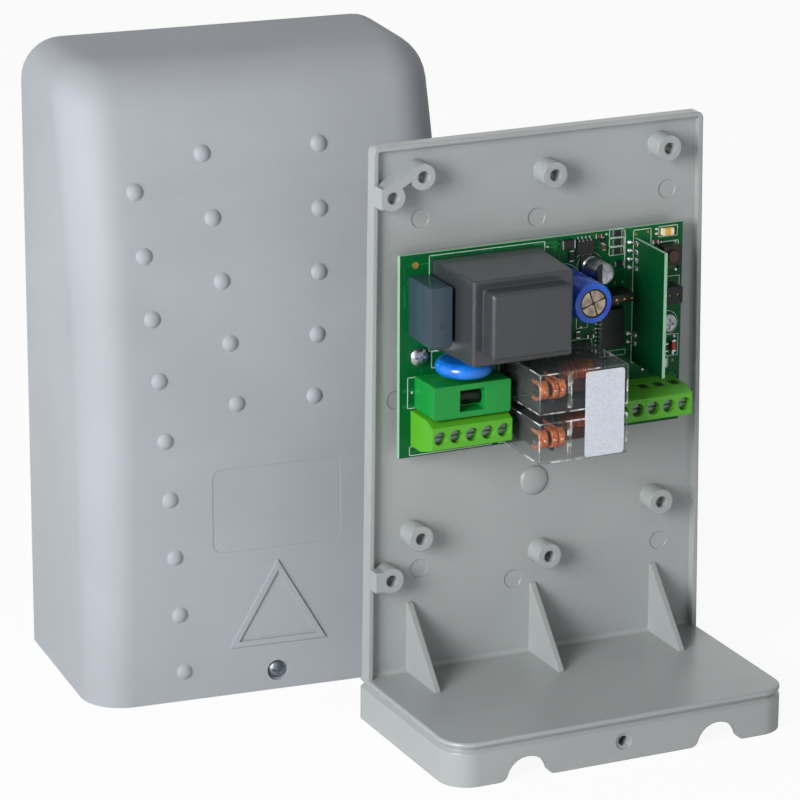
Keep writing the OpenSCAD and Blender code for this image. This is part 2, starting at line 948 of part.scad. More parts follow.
module fuse_glass() {
    color("#dfe8ea")
        on_board()
            translate([fuse_u0 + 1, fuse_v, fuse_z])
                rotate([0, 90, 0])
                    difference() {
                        cylinder(d = fuse_d - 0.5, h = fuse_l - 2);
                        translate([0, 0, -over])
                            cylinder(d = fuse_d - 1.6, h = fuse_l + over);
                    }
}

module fuse_caps() {
    color(tin)
        on_board()
            for (s = [0, 1])
                translate([fuse_u0 + s * fuse_l, fuse_v, fuse_z])
                    rotate([0, 90 - 180 * s, 0])
                        difference() {
                            cylinder(d = fuse_d, h = cap_l);
                            translate([0, 0, 1])
                                cylinder(d = fuse_d - 0.4, h = cap_l);
                        }
}

function pole_u(b, k) = block_u[b] + block_end + (k + 0.5) * pole_pitch;
pole_list = [for (b = [0 : 2], k = [0 : poles[b] - 1]) pole_u(b, k)];

// Screw terminal block: the wells open to the front, the wire entries downwards
module terminal_block(b) {
    width = poles[b] * pole_pitch + 2 * block_end;
    v1 = block_v + 10.6;
    color("#5fb52a")
        on_board()
            difference() {
                translate([block_u[b], 0, 0])
                    rotate([90, 0, 90])
                        linear_extrude(width)
                            polygon([[block_v, 0], [v1, 0], [v1, 0.73 * block_h],
                                [v1 - 1.4, block_h], [block_v + 2.5, block_h],
                                [block_v, 0.46 * block_h]]);
                for (k = [0 : poles[b] - 1])
                    translate([pole_u(b, k), screw_v, 0]) {
                        translate([0, 0, block_h - screw_well])
                            cylinder(d = pole_screw_d + 0.4, h = screw_well + over);
                        translate([0, 0, cage_h - over])
                            cylinder(d = pole_thread_d + 0.3, h = block_h - cage_h);
                        block([-cage_w / 2 - fit, block_v - screw_v - over, 1.2],
                            [cage_w / 2 + fit, cage_v / 2 + fit, cage_h]);
                    }
            }
}

module terminal_block_left() {
    terminal_block(0);
}

module terminal_block_middle() {
    terminal_block(1);
}

module terminal_block_right() {
    terminal_block(2);
}

module terminal_cages() {
    top = cage_h - fit;
    color(tin)
        on_board()
            for (u = pole_list)
                translate([u, screw_v, 0])
                    difference() {
                        block([-cage_w / 2, -cage_v / 2, 1.2], [cage_w / 2, cage_v / 2, top]);
                        block([cage_t - cage_w / 2, -cage_v, 1.2 + cage_t],
                            [cage_w / 2 - cage_t, cage_v, top - cage_t]);
                        translate([0, 0, top - 2 * cage_t])
                            cylinder(d = pole_thread_d + 2 * fit, h = 2 * cage_t + over);
                    }
}

module terminal_screw(i) {
    seat = block_h - screw_well + fit;
    color(tin)
        on_board()
            translate([pole_list[i - 1], screw_v, seat]) {
                difference() {
                    cylinder(d = pole_screw_d, h = pole_screw_t);
                    translate([-pole_screw_d, -0.3, pole_screw_t - 0.6])
                        cube([2 * pole_screw_d, 0.6, 0.6 + over]);
                }
                translate([0, 0, cage_h - 2 - seat])
                    cylinder(d = pole_thread_d, h = seat - cage_h + 2.1);
            }
}

module relay_base(k) {
    inner_l = relay_l - 2 * relay_wall - 2 * fit;
    foot = spring_t + 2 * (rest + 0.03);
    stop = armature_x + armature_t + 0.15;
    color(black)
        in_relay(k) {
            translate([0, -relay_w / 2, 0])
                rounded_box(relay_l, relay_w, relay_floor, 0.5);
            block([relay_wall + fit, -relay_inner_w / 2, 0],
                [relay_wall + fit + inner_l, relay_inner_w / 2, relay_plug]);
            block([yoke_x - 1, -relay_inner_w / 2, 0], [yoke_x - 0.2, relay_inner_w / 2, 17]);
            for (s = [-1, 1])
                translate([spring_x + s * (foot / 2 + 0.3) - 0.3, -spring_w / 2, 0])
                    cube([0.6, spring_w, relay_plug + 1.2]);
            block([stop, -armature_w / 2, 0], [stop + 0.5, armature_w / 2, relay_plug + 1.6]);
        }
}

module relay_case(k) {
    color("#c8d0d0", 0.35)
        in_relay(k)
            difference() {
                translate([0, -relay_w / 2, relay_floor])
                    rounded_box(relay_l, relay_w, relay_h - relay_floor, 0.5);
                block([relay_wall, relay_wall - relay_w / 2, relay_floor - over],
                    [relay_l - relay_wall, relay_w / 2 - relay_wall, relay_h - relay_wall]);
            }
}

// Two flanges on a hollow drum, each with a rail that the card slides over
module relay_bobbin(k) {
    low = relay_plug + yoke_t;
    half = relay_inner_w / 2 - 0.3;
    rail = card_h - 0.15;
    color("#e4e0d4")
        in_relay(k)
            difference() {
                union() {
                    for (x = [coil_x0, coil_x1]) {
                        block([x, -half, low], [x + flange_t, half, low + flange_h]);
                        block([x, -card_w / 2, low], [x + flange_t, card_w / 2, rail]);
                    }
                    translate([coil_x0, 0, coil_z])
                        rotate([0, 90, 0])
                            cylinder(r = drum_r - sleeve_t - coil_gap, h = coil_x1 - coil_x0 + 0.1);
                }
                translate([coil_x0 - over, 0, coil_z])
                    rotate([0, 90, 0])
                        cylinder(d = core_d + 2 * fit, h = relay_l);
            }
}

// Route of the winding, unrolled: along the girth and along the axis. It leaves one flange
// straight, bends into the loops and runs straight into the other flange.
coil_turn = 90 - coil_slope;
coil_run = coil_loops * 2 * PI * coil_r / cos(coil_slope);
function bend_in(a) = [coil_bend * (1 - cos(a)), coil_lead + coil_bend * sin(a)];
function along(p, s) = p + s * [cos(coil_slope), sin(coil_slope)];
function bend_out(p, b) = p + coil_bend * [sin(coil_slope + b) - sin(coil_slope),
    cos(coil_slope) - cos(coil_slope + b)];
function coil_route() = let (
    a = bend_in(coil_turn),
    z = along(a, coil_run),
    end = bend_out(z, coil_turn),
    n = rings * coil_loops) concat(
    [[0, 0]],
    [for (i = [0 : 3]) bend_in(coil_turn * i / 4)],
    [for (i = [0 : n]) along(a, coil_run * i / n)],
    [for (i = [1 : 4]) bend_out(z, coil_turn * i / 4)],
    [end + [0, coil_lead]]);
function on_coil(p, r) = let (a = p[0] / coil_r * 180 / PI) [p[1], r * cos(a), r * sin(a)];

// One ring of the tube round a point of the route
function coil_ring(route, i) = let (
    last = len(route) - 1,
    p = on_coil(route[i], coil_r),
    t = on_coil(route[min(i + 1, last)], coil_r) - on_coil(route[max(i - 1, 0)], coil_r),
    out = on_coil(route[i], 1) - [route[i][1], 0, 0],
    side = cross(t, out) / norm(cross(t, out)),
    up = cross(side, t) / norm(t))
    [for (j = [0 : sides - 1]) p + wire_d / 2 * (cos(360 * j / sides) * up
        + sin(360 * j / sides) * side)];

// Least clear distance between parts of the route that are more than half a loop apart
function least_gap(path) = min([for (i = [0 : len(path) - 1])
    for (j = [i + rings / 2 : 1 : len(path) - 1]) norm(path[i] - path[j])]) - wire_d;

module coil_tube() {
    route = coil_route();
    count = len(route);
    path = [for (p = route) on_coil(p, coil_r)];
    echo(least_gap = least_gap(path));
    points = [for (i = [0 : count - 1]) for (p = coil_ring(route, i)) p];
    skin = [for (i = [0 : count - 2], j = [0 : sides - 1])
        let (a = i * sides + j, b = i * sides + (j + 1) % sides)
        for (f = [[a, b + sides, b], [a, a + sides, b + sides]]) f];
    front = [for (j = [1 : sides - 2]) [0, j, j + 1]];
    back = [for (j = [1 : sides - 2]) [0, j + 1, j] + (count - 1) * sides * [1, 1, 1]];
    polyhedron(points, concat(skin, front, back));
}

// Inner layers as a plain sleeve, with the outer layer wound over it as one wire
module relay_winding(k) {
    color(copper)
        in_relay(k)
            translate([coil_x0 + flange_t, 0, coil_z]) {
                rotate([0, 90, 0])
                    difference() {
                        cylinder(r = drum_r, h = coil_len);
                        translate([0, 0, -over])
                            cylinder(r = drum_r - sleeve_t, h = coil_len + 2 * over);
                    }
                coil_tube();
            }
}

// Yoke with a foot along the base, an upright leg and the core with its pole
module relay_yoke(k) {
    color(steel)
        in_relay(k) {
            block([yoke_x, -yoke_w / 2, relay_plug],
                [armature_x - 0.15, yoke_w / 2, relay_plug + yoke_t]);
            block([yoke_x, -yoke_w / 2, relay_plug], [yoke_x + yoke_t, yoke_w / 2, coil_z + 4.2]);
            translate([yoke_x + 0.1, 0, coil_z])
                rotate([0, 90, 0])
                    cylinder(d = core_d, h = pole_x - yoke_x - 0.1);
            translate([pole_x - pole_t, 0, coil_z])
                rotate([0, 90, 0])
                    cylinder(d = pole_d, h = pole_t);
        }
}

// Plate in front of the pole, with a tongue that pushes the card
module relay_armature(k) {
    color(steel)
        in_relay(k) {
            block([armature_x, -armature_w / 2, hinge_h - 0.3],
                [armature_x + armature_t, armature_w / 2, coil_z + pole_d / 2 + 0.6]);
            block([armature_x, -card_w / 2, hinge_h],
                [armature_x + armature_t, card_w / 2, card_h + card_t]);
        }
}

module relay_card(k) {
    color("#d8d2bc")
        in_relay(k)
            block([spring_x + spring_t / 2 + fit, -card_w / 2, card_h],
                [armature_x - fit, card_w / 2, card_h + card_t]);
}

spring_foot = relay_plug + 0.15;
closed_rivet = (closed_x - blade_t / 2 - spring_x - spring_t / 2 - rest) / 2;

// Round contact on a blade, pointing along x in the given direction
module rivet(x, dir, len) {
    translate([x, 0, contact_h])
        rotate([0, 90 * dir, 0])
            cylinder(d = contact_d, h = len);
}

module relay_spring(k) {
    color("#c98a4a")
        in_relay(k) {
            block([spring_x - spring_t / 2, -spring_w / 2 + 0.1, spring_foot],
                [spring_x + spring_t / 2, spring_w / 2 - 0.1, card_h + card_t + 0.3]);
            rivet(spring_x, -1, spring_t / 2 + rivet_h);
            rivet(spring_x, 1, spring_t / 2 + closed_rivet);
        }
}

module relay_contacts(k) {
    color("#c98a4a")
        in_relay(k) {
            for (x = [open_x, closed_x])
                block([x - blade_t / 2, -spring_w / 2, relay_plug],
                    [x + blade_t / 2, spring_w / 2, blade_h]);
            rivet(open_x, 1, blade_t / 2 + rivet_h);
            rivet(closed_x, -1, blade_t / 2 + closed_rivet);
        }
}

// Bare sticker that lies over both cases
module relay_label() {
    color("#dfe2e6")
        on_board()
            translate([relay_u + sticker_u, relay_v[0] - relay_w / 2 + sticker_low, relay_h])
                rounded_box(sticker_w, relay_pitch + relay_w - sticker_low - sticker_high,
                    sticker_t, 1);
}

// Can with a rolled top rim and a scored cross on its lid
module can(d, h, rim) {
    r = d / 2;
    difference() {
        rotate_extrude()
            polygon([[0, 0], [r, 0], [r, 1.4], [r - 0.35, 1.9], [r, 2.4], [r, h - 0.7],
                [r - 0.25, h - 0.2], [r - 0.7, h], [r - rim, h], [r - rim, h - 0.35],
                [0, h - 0.35]]);
        for (a = [20, 110])
            translate([0, 0, h - 0.6])
                rotate([0, 0, a])
                    translate([-r + rim + 0.4, -0.2, 0])
                        cube([2 * (r - rim - 0.4), 0.4, over]);
    }
}

module large_capacitor() {
    color("#1f4fd0")
        on_board()
            translate([big_u, big_v, 0])
                can(big_d, big_h, 1.8);
}

module small_capacitor() {
    color("#9aa3a8")
        on_board()
            translate([small_u, small_v, 0])
                can(small_d, small_h, 0.8);
}

module receiver_board() {
    color("#0a6b3a")
        on_board()
            block([receiver_u, receiver_v, receiver_low],
                [receiver_u + receiver_t, receiver_v + receiver_l, receiver_h]);
}

receiver_pin_v = concat(
    [for (k = [0 : 3]) receiver_v + receiver_l - pin_row_high - k * pin_pitch],
    [for (k = [0 : 1]) receiver_v + pin_row_low + k * pin_pitch]);

module receiver_pins() {
    color(tin)
        on_board()
            for (v = receiver_pin_v)
                block([receiver_u - pin_w, v - pin_w / 2, 0],
                    [receiver_u, v + pin_w / 2, receiver_low + pin_lap]);
}

// Chip and tuning coil on the far side of the receiver board
module receiver_chips() {
    face = receiver_u + receiver_t;
    color(black)
        on_board() {
            block([face, receiver_v + radio_v, radio_low],
                [face + radio_t, receiver_v + radio_v + radio_l, radio_low + radio_w]);
            translate([face, receiver_v + tuner_v, tuner_z])
                rotate([0, 90, 0])
                    cylinder(d = tuner_d, h = tuner_t);
        }
}

// Row of square pins in a moulded strip
module pin_row(n, h) {
    block([-pin_pitch / 2, -pin_pitch / 2, 0], [(n - 0.5) * pin_pitch, pin_pitch / 2, housing_t]);
    for (k = [0 : n - 1])
        translate([k * pin_pitch - pin_w / 2, -pin_w / 2, 0])
            cube([pin_w, pin_w, h]);
}

module pin_headers() {
    color("#c9a44c")
        on_board() {
            translate([header_u, header_v, 0])
                pin_row(3, header_pin_h);
            translate([jumper_u, jumper_v, 0])
                pin_row(2, jumper_h - pin_drop);
        }
}

module jumper_cap() {
    hole = pin_w + 2 * fit;
    color(black)
        on_board()
            translate([jumper_u, jumper_v, 0])
                difference() {
                    translate([(pin_pitch - jumper_w) / 2, -jumper_w / 2, housing_t + cap_lift])
                        rounded_box(jumper_w, jumper_w, jumper_h - housing_t - cap_lift, 0.5);
                    for (k = [0, 1])
                        translate([k * pin_pitch - hole / 2, -hole / 2, 0])
                            cube([hole, hole, jumper_h + over]);
                }
}

module push_switch() {
    color("#2c2320")
        on_board()
            translate([switch_u, switch_v, 0])
                difference() {
                    translate([-switch_w / 2, -switch_w / 2, 0])
                        rounded_box(switch_w, switch_w, switch_h, 0.4);
                    translate([0, 0, switch_floor])
                        cylinder(d = button_d + fit, h = switch_h);
                }
}

module switch_button() {
    low = switch_floor + switch_travel + button_gap;
    color("#5a3c2c")
        on_board()
            translate([switch_u, switch_v, low])
                cylinder(d = button_d, h = switch_h + button_out - low);
}

module indicator_led() {
    color("#efe6c2")
        on_board()
            translate([board_w - led_in - led_w, board_h - led_top - led_v, 0])
                rounded_box(led_w, led_v, led_h, 0.2);
}

module glass_diode() {
    color("#b5452c")
        on_board()
            translate([diode_u, diode_v, diode_end_d / 2])
                rotate([-90, 0, 0]) {
                    cylinder(d = diode_d, h = diode_l);
                    for (z = [0, diode_l - diode_end])
                        translate([0, 0, z])
                            cylinder(d = diode_end_d, h = diode_end);
                }
}

// Bent lead of a chip, from the body's side down to the board
module gull_lead() {
    rotate([90, 0, 0])
        translate([0, 0, -lead_w / 2])
            linear_extrude(lead_w)
                polygon([[-0.1, lead_rise], [0.35, lead_rise], [0.6, lead_t], [lead_out, lead_t],
                    [lead_out, 0], [0.4, 0], [0.2, lead_rise - lead_t],
                    [-0.1, lead_rise - lead_t]]);
}

// Chip with leads on two sides, its leads in rows of n up the board
module chip(w, l, h, n) {
    translate([-w / 2, -l / 2, chip_lift])
        cube([w, l, h]);
    for (s = [0, 1], k = [0 : n - 1])
        mirror([s, 0, 0])
            translate([w / 2, (k - (n - 1) / 2) * lead_step, 0])
                gull_lead();
}

module control_chips() {
    color(black)
        on_board() {
            translate(logic_at)
                chip(7.4, 11.5, 2.3, 9);
            translate(driver_at)
                rotate([0, 0, 90])
                    chip(3.9, 5, 1.6, 4);
        }
}

module chip_resistors() {
    color("#3a3a38")
        on_board() {
            for (k = [0 : 2])
                translate([resistor_at[0], resistor_at[1] + resistor_pitch * k, 0])
                    cube([resistor_l, resistor_w, resistor_h]);
            translate(sensor_at)
                cube([sensor_l, resistor_w, sensor_h]);
        }
}

rear_base();
front_cover();
cover_screw();
circuit_board();
board_screws();
transformer();
film_capacitor();
varistor();
fuse_base();
fuse_clips();
fuse_carrier();
fuse_glass();
fuse_caps();
terminal_block_left();
terminal_block_middle();
terminal_block_right();
terminal_cages();
terminal_screw(1);  // terminal_screw_1
terminal_screw(2);  // terminal_screw_2
terminal_screw(3);  // terminal_screw_3
terminal_screw(4);  // terminal_screw_4
terminal_screw(5);  // terminal_screw_5
terminal_screw(6);  // terminal_screw_6
terminal_screw(7);  // terminal_screw_7
terminal_screw(8);  // terminal_screw_8
terminal_screw(9);  // terminal_screw_9
terminal_screw(10);  // terminal_screw_10
relay_base(0);  // relay_base_lower
relay_base(1);  // relay_base_upper
relay_case(0);  // relay_case_lower
relay_case(1);  // relay_case_upper
relay_bobbin(0);  // relay_bobbin_lower
relay_bobbin(1);  // relay_bobbin_upper
relay_winding(0);  // relay_winding_lower
relay_winding(1);  // relay_winding_upper
relay_yoke(0);  // relay_yoke_lower
relay_yoke(1);  // relay_yoke_upper
relay_armature(0);  // relay_armature_lower
relay_armature(1);  // relay_armature_upper
relay_card(0);  // relay_card_lower
relay_card(1);  // relay_card_upper
relay_spring(0);  // relay_spring_lower
relay_spring(1);  // relay_spring_upper
relay_contacts(0);  // relay_contacts_lower
relay_contacts(1);  // relay_contacts_upper
relay_label();
large_capacitor();
small_capacitor();
receiver_board();
receiver_pins();
receiver_chips();
pin_headers();
jumper_cap();
push_switch();
switch_button();
indicator_led();
glass_diode();
control_chips();
chip_resistors();
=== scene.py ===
import math
import random

import bmesh
import bpy
from mathutils import Matrix, Vector


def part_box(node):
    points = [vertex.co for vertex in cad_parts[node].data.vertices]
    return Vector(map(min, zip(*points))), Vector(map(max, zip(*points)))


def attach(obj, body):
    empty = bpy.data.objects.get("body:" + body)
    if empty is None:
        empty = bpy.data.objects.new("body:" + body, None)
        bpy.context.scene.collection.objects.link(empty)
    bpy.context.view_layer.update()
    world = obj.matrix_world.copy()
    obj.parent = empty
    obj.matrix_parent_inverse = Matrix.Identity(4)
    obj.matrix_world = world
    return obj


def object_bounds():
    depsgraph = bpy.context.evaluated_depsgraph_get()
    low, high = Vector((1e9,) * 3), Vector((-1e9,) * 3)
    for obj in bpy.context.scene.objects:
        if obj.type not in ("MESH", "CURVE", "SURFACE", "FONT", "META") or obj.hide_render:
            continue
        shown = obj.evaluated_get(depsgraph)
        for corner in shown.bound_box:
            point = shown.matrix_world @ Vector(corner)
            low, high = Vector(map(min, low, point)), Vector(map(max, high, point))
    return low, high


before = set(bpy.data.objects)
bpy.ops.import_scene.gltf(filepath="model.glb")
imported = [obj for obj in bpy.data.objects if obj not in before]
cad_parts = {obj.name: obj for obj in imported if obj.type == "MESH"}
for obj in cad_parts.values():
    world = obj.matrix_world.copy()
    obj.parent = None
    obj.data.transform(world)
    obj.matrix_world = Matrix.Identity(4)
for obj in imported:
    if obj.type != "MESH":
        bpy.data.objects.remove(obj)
cad_low, cad_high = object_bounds()

# Rear base: one grey injection moulding that the wall screws hold. Its finish is a fine
# satin grain from a spark-eroded mould, with faint flow shades. Every CAD piece is welded
# and split at its sharp edges, and a soft edge is shaded along each of them.


class Tap:
    """One value on its way through a finish."""

    def __init__(self, finish, socket):
        self.finish = finish
        self.socket = socket

    def of(self, name):
        """Another output of the node that this value comes from."""
        return Tap(self.finish, self.socket.node.outputs[name])

    def math(self, operation, *values):
        given = dict(enumerate((self, *values)))
        return self.finish.node("ShaderNodeMath", {"operation": operation}, given)

    def __add__(self, other):
        return self.math("ADD", other)

    def __sub__(self, other):
        return self.math("SUBTRACT", other)

    def __rsub__(self, other):
        return self.finish.node("ShaderNodeMath", {"operation": "SUBTRACT"}, {0: other, 1: self})

    def __mul__(self, other):
        return self.math("MULTIPLY", other)

    def __gt__(self, other):
        return self.math("GREATER_THAN", other)

    def __lt__(self, other):
        return self.math("LESS_THAN", other)

    __radd__ = __add__
    __rmul__ = __mul__

    def rise(self, low, high):
        """0 below low, 1 above high."""
        given = {"Value": self, "From Min": low, "From Max": high}
        return self.finish.node("ShaderNodeMapRange", {"interpolation_type": "SMOOTHSTEP"}, given)


class Finish:
    """A procedural material, or the shading of the world."""

    def __init__(self, name, world=False):
        self.owner = (bpy.data.worlds if world else bpy.data.materials).new(name)
        self.owner.use_nodes = True
        self.tree = self.owner.node_tree
        self.tree.nodes.clear()
        self.coordinates = self.node("ShaderNodeTexCoord")
        self.place = self.coordinates.of("Object")

    def node(self, kind, settings=None, values=None, out=0):
        """Any node, from its type, its settings, and the values or links of its sockets."""
        made = self.tree.nodes.new(kind)
        for name, value in (settings or {}).items():
            setattr(made, name, value)
        for name, value in (values or {}).items():
            if isinstance(value, Tap):
                self.tree.links.new(value.socket, made.inputs[name])
            else:
                made.inputs[name].default_value = value
        return Tap(self, made.outputs[out]) if made.outputs else made

    def noise(self, scale, detail=2.0, place=None):
        """A soft noise with scale waves to the metre."""
        given = {"Vector": place or self.place, "Scale": scale, "Detail": detail}
        return self.node("ShaderNodeTexNoise", {}, given)

    def stretched(self, x, y, z):
        given = {"Vector": self.place, "Scale": (x, y, z)}
        return self.node("ShaderNodeMapping", {}, given)

    def parts(self, tap):
        split = self.node("ShaderNodeSeparateXYZ", {}, {0: tap})
        return [split.of(axis) for axis in "XYZ"]

    def box(self, low, high):
        """1 inside a box between two corners in metres, 0 outside it."""
        x, y, z = self.parts(self.place)
        mask = (x > low[0]) * (x < high[0]) * (y > low[1]) * (y < high[1])
        return mask * (z > low[2]) * (z < high[2])

    def blend(self, share, first, second):
        given = {0: share, 6: first, 7: second}
        return self.node("ShaderNodeMix", {"data_type": "RGBA"}, given, out=2)

    def surface(self, colour, rough, height=None, depth=0.00002, edge=0.0002, **more):
        """Closes the finish. height is a map for the bump, depth how deep it cuts and edge
        the soft edge's radius, both in metres."""
        normal = self.node("ShaderNodeBevel", {"samples": 4}, {"Radius": edge})
        if height is not None:
            given = {"Height": height, "Distance": depth, "Strength": 1.0, "Normal": normal}
            normal = self.node("ShaderNodeBump", {}, given)
        given = {"Base Color": colour, "Roughness": rough, "Normal": normal}
        for name, value in more.items():
            given[name.replace("_", " ").title().replace("Ior", "IOR")] = value
        shader = self.node("ShaderNodeBsdfPrincipled", {}, given)
        self.node("ShaderNodeOutputMaterial", {}, {"Surface": shader})
        return self.owner


def tone(code):
    """The linear colour of a hex code as the eye sees it."""
    parts = [int(code[i : i + 2], 16) / 255 for i in (1, 3, 5)]
    return (*[c / 12.92 if c <= 0.04045 else ((c + 0.055) / 1.055) ** 2.4 for c in parts], 1.0)


def shade(code, factor):
    """The same colour, lighter or darker by a factor."""
    return (*[min(1.0, c * factor) for c in tone(code)[:3]], 1.0)


def moulding(
    name, code, rough, grain=2600.0, depth=0.000012, edge=0.0002, sheen=0.04, gloss=0.5, patchy=0.12
):
    """Moulded plastic with a fine grain, faint flow shades and uneven gloss."""
    f = Finish(name)
    flow = f.noise(22.0, 3.0)
    fine = f.noise(grain)
    colour = f.blend(flow.rise(0.3, 0.7), shade(code, 1 - sheen), shade(code, 1 + sheen))
    colour = f.blend(fine.rise(0.35, 0.75) * 0.25, colour, shade(code, 0.88))
    uneven = flow * patchy + (rough - patchy / 2)
    return f.surface(colour, uneven, fine, depth, edge, specular_ior_level=gloss)


def dress(node, material, split=30):
    """Gives a CAD node its finish, and smooth shading between its sharp edges."""
    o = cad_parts[node]
    mesh = o.data
    if "custom_normal" in mesh.attributes:
        mesh.attributes.remove(mesh.attributes["custom_normal"])
    mesh.polygons.foreach_set("use_smooth", [True] * len(mesh.polygons))
    mesh.materials.clear()
    mesh.materials.append(material)
    weld = o.modifiers.new("weld", "WELD")
    weld.merge_threshold = 0.000002
    edges = o.modifiers.new("edges", "EDGE_SPLIT")
    edges.split_angle = math.radians(split)


base_plastic = moulding(
    "base_plastic", "#a0a4a4", rough=0.26, depth=0.000005, edge=0.0005, gloss=0.8, patchy=0.02
)
dress("rear_base", base_plastic)

# Circuit board: glass fibre laminate under a green solder mask. The copper tracks show
# through the mask as lighter green lines, and white print outlines the parts. Print and
# tracks are thin strips that lie on the board's face.
mm = 0.001
board_x, board_y, board_z = -46.6, -7.6, -29.25
board_w, board_h = 92.0, 60.9
large_can, small_can = (52.2, 45.9), (61.2, 51.0)


def on_board(u, v, h=0.0):
    """A point to the right, up and out from the board's lower left corner, in mm."""
    return Vector((board_x + u, board_y - h, board_z + v)) * mm


def ring(r, n, whole=False):
    """n points round a circle, and the first once more where the ring is whole."""
    turn = [2 * math.pi * k / n for k in range(n + 1 if whole else n)]
    return [(r * math.cos(t), r * math.sin(t)) for t in turn]


class Work:
    """A piece while it is made, with its points given on the board."""

    def __init__(self, name):
        self.name = name
        self.bm = bmesh.new()

    def face_loop(self, points):
        return [self.bm.verts.new(on_board(*p)) for p in points]

    def skin(self, loops):
        """Joins loops of the same count, and closes both ends."""
        n = len(loops[0])
        for a, b in zip(loops, loops[1:]):
            for i in range(n):
                j = (i + 1) % n
                self.bm.faces.new((a[i], a[j], b[j], b[i]))
        self.bm.faces.new(loops[0][::-1])
        self.bm.faces.new(loops[-1])

    def block(self, a, b, slope=0.0):
        """A box from corner a to corner b, its top drawn in by slope."""
        rows = []
        for h, s in ((a[2], 0.0), (b[2], slope)):
            left, low, right, high = a[0] + s, a[1] + s, b[0] - s, b[1] - s
            corners = ((left, low), (right, low), (right, high), (left, high))
            rows.append(self.face_loop([(u, v, h) for u, v in corners]))
        self.skin(rows)

    def spin(self, u, v, profile, n):
        """A turned form on the board's outward axis, from (radius, height) pairs."""
        self.skin([self.face_loop([(u + x, v + y, h) for x, y in ring(r, n)]) for r, h in profile])

    def tube(self, path, r):
        """A round wire along points of the board."""
        path = [Vector(p) for p in path]
        rows = []
        side = None
        for i, p in enumerate(path):
            along = (path[min(i + 1, len(path) - 1)] - path[max(i - 1, 0)]).normalized()
            if side is None:
                side = along.orthogonal().normalized()
            side = (side - along * side.dot(along)).normalized()
            up = along.cross(side)
            turn = [2 * math.pi * k / 10 for k in range(10)]
            round_p = [p + (side * math.cos(t) + up * math.sin(t)) * r for t in turn]
            rows.append(self.face_loop(round_p))
        self.skin(rows)

    def line(self, points, width, high=0.03):
        """A flat strip along points of the board's face, one straight run at a time."""
        for (u0, v0), (u1, v1) in zip(points, points[1:]):
            run = Vector((u1 - u0, v1 - v0))
            if run.length < 1e-6:
                continue
            d = run.normalized() * width / 2
            s = Vector((-d.y, d.x))
            corners = [Vector((u0, v0)) - d + s, Vector((u0, v0)) - d - s]
            corners += [Vector((u1, v1)) + d - s, Vector((u1, v1)) + d + s]
            self.skin([self.face_loop([(c.x, c.y, h) for c in corners]) for h in (0.0, high)])

    def frame_line(self, u0, v0, u1, v1):
        self.line([(u0, v0), (u1, v0), (u1, v1), (u0, v1), (u0, v0)], 0.22)

    def dome(self, u, v, r, h, low=0.0):
        shape = [(r, low), (r * 0.86, low + h * 0.55), (r * 0.5, low + h * 0.9), (r * 0.1, low + h)]
        self.spin(u, v, shape, 14)

    def done(self, material, bevel=0.0, split=35):
        """Makes the piece an object that rides on the base, with its edges rounded."""
        bmesh.ops.recalc_face_normals(self.bm, faces=self.bm.faces)
        mesh = bpy.data.meshes.new(self.name)
        self.bm.to_mesh(mesh)
        self.bm.free()
        o = bpy.data.objects.new(self.name, mesh)
        bpy.context.scene.collection.objects.link(o)
        mesh.polygons.foreach_set("use_smooth", [True] * len(mesh.polygons))
        mesh.materials.append(material)
        if bevel:
            rounding = o.modifiers.new("rounding", "BEVEL")
            rounding.width = bevel * mm
            rounding.segments = 2
            rounding.limit_method = "ANGLE"
            rounding.angle_limit = math.radians(30)
        edges = o.modifiers.new("edges", "EDGE_SPLIT")
        edges.split_angle = math.radians(split)
        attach(o, "base")


def zone(u0, v0, h0, u1, v1, h1):
    """Two opposite corners of a box on the board, as Finish.box takes them."""
    return on_board(u0, v0, h1), on_board(u1, v1, h0)


def solder_mask(name, code, axis):
    """Green lacquer on the two faces across an axis, with pale laminate on the cut edges."""
    f = Finish(name)
    weave = f.node("ShaderNodeTexBrick", {"offset": 0.5}, {"Vector": f.place, "Scale": 900.0})
    cloud = f.noise(60.0, 4.0)
    colour = f.blend(cloud.rise(0.35, 0.7), shade(code, 0.86), shade(code, 1.12))
    colour = f.blend(weave.of("Fac") * 0.12, colour, shade(code, 0.6))
    across = f.parts(f.coordinates.of("Normal"))[axis].math("ABSOLUTE")
    colour = f.blend(across < 0.5, colour, tone("#8fb99a"))
    rough = cloud * 0.2 + 0.22
    return f.surface(colour, rough, f.noise(500.0), 0.00001, 0.00005, specular_ior_level=0.2)


dress("circuit_board", solder_mask("board_green", "#015a2a", 1))

f = Finish("track_green")
copper_shade = f.blend(f.noise(120.0).rise(0.3, 0.7), tone("#046634"), tone("#07703a"))
relief = f.noise(700.0)
track_green = f.surface(copper_shade, 0.32, relief, 0.000006, 0.00003, specular_ior_level=0.35)
f = Finish("white_print")
ink = f.blend(f.noise(2500.0, 3.0).rise(0.4, 0.75), tone("#d3ddd4"), tone("#8fb59b"))
white_print = f.surface(ink, 0.62, f.noise(3000.0), 0.000004, 0.00003)

tracks = Work("board_tracks")
chance = random.Random(7)
margin, track_widths = 1.5, (0.35, 0.5, 0.9)
for row in range(46):
    path = [(chance.uniform(3, 88), chance.uniform(2, 58))]
    for bend in range(4):
        reach = chance.uniform(3, 10) * chance.choice((-1, 1))
        u, v = path[-1]
        if bend % 2:
            u += reach
        else:
            v += reach
        u = min(max(u, margin), board_w - margin)
        v = min(max(v, margin), board_h - margin)
        path.append((u, v))
    tracks.line(path, chance.choice(track_widths), 0.012 + 0.0004 * row)
tracks.done(track_green)

prints = Work("board_print")
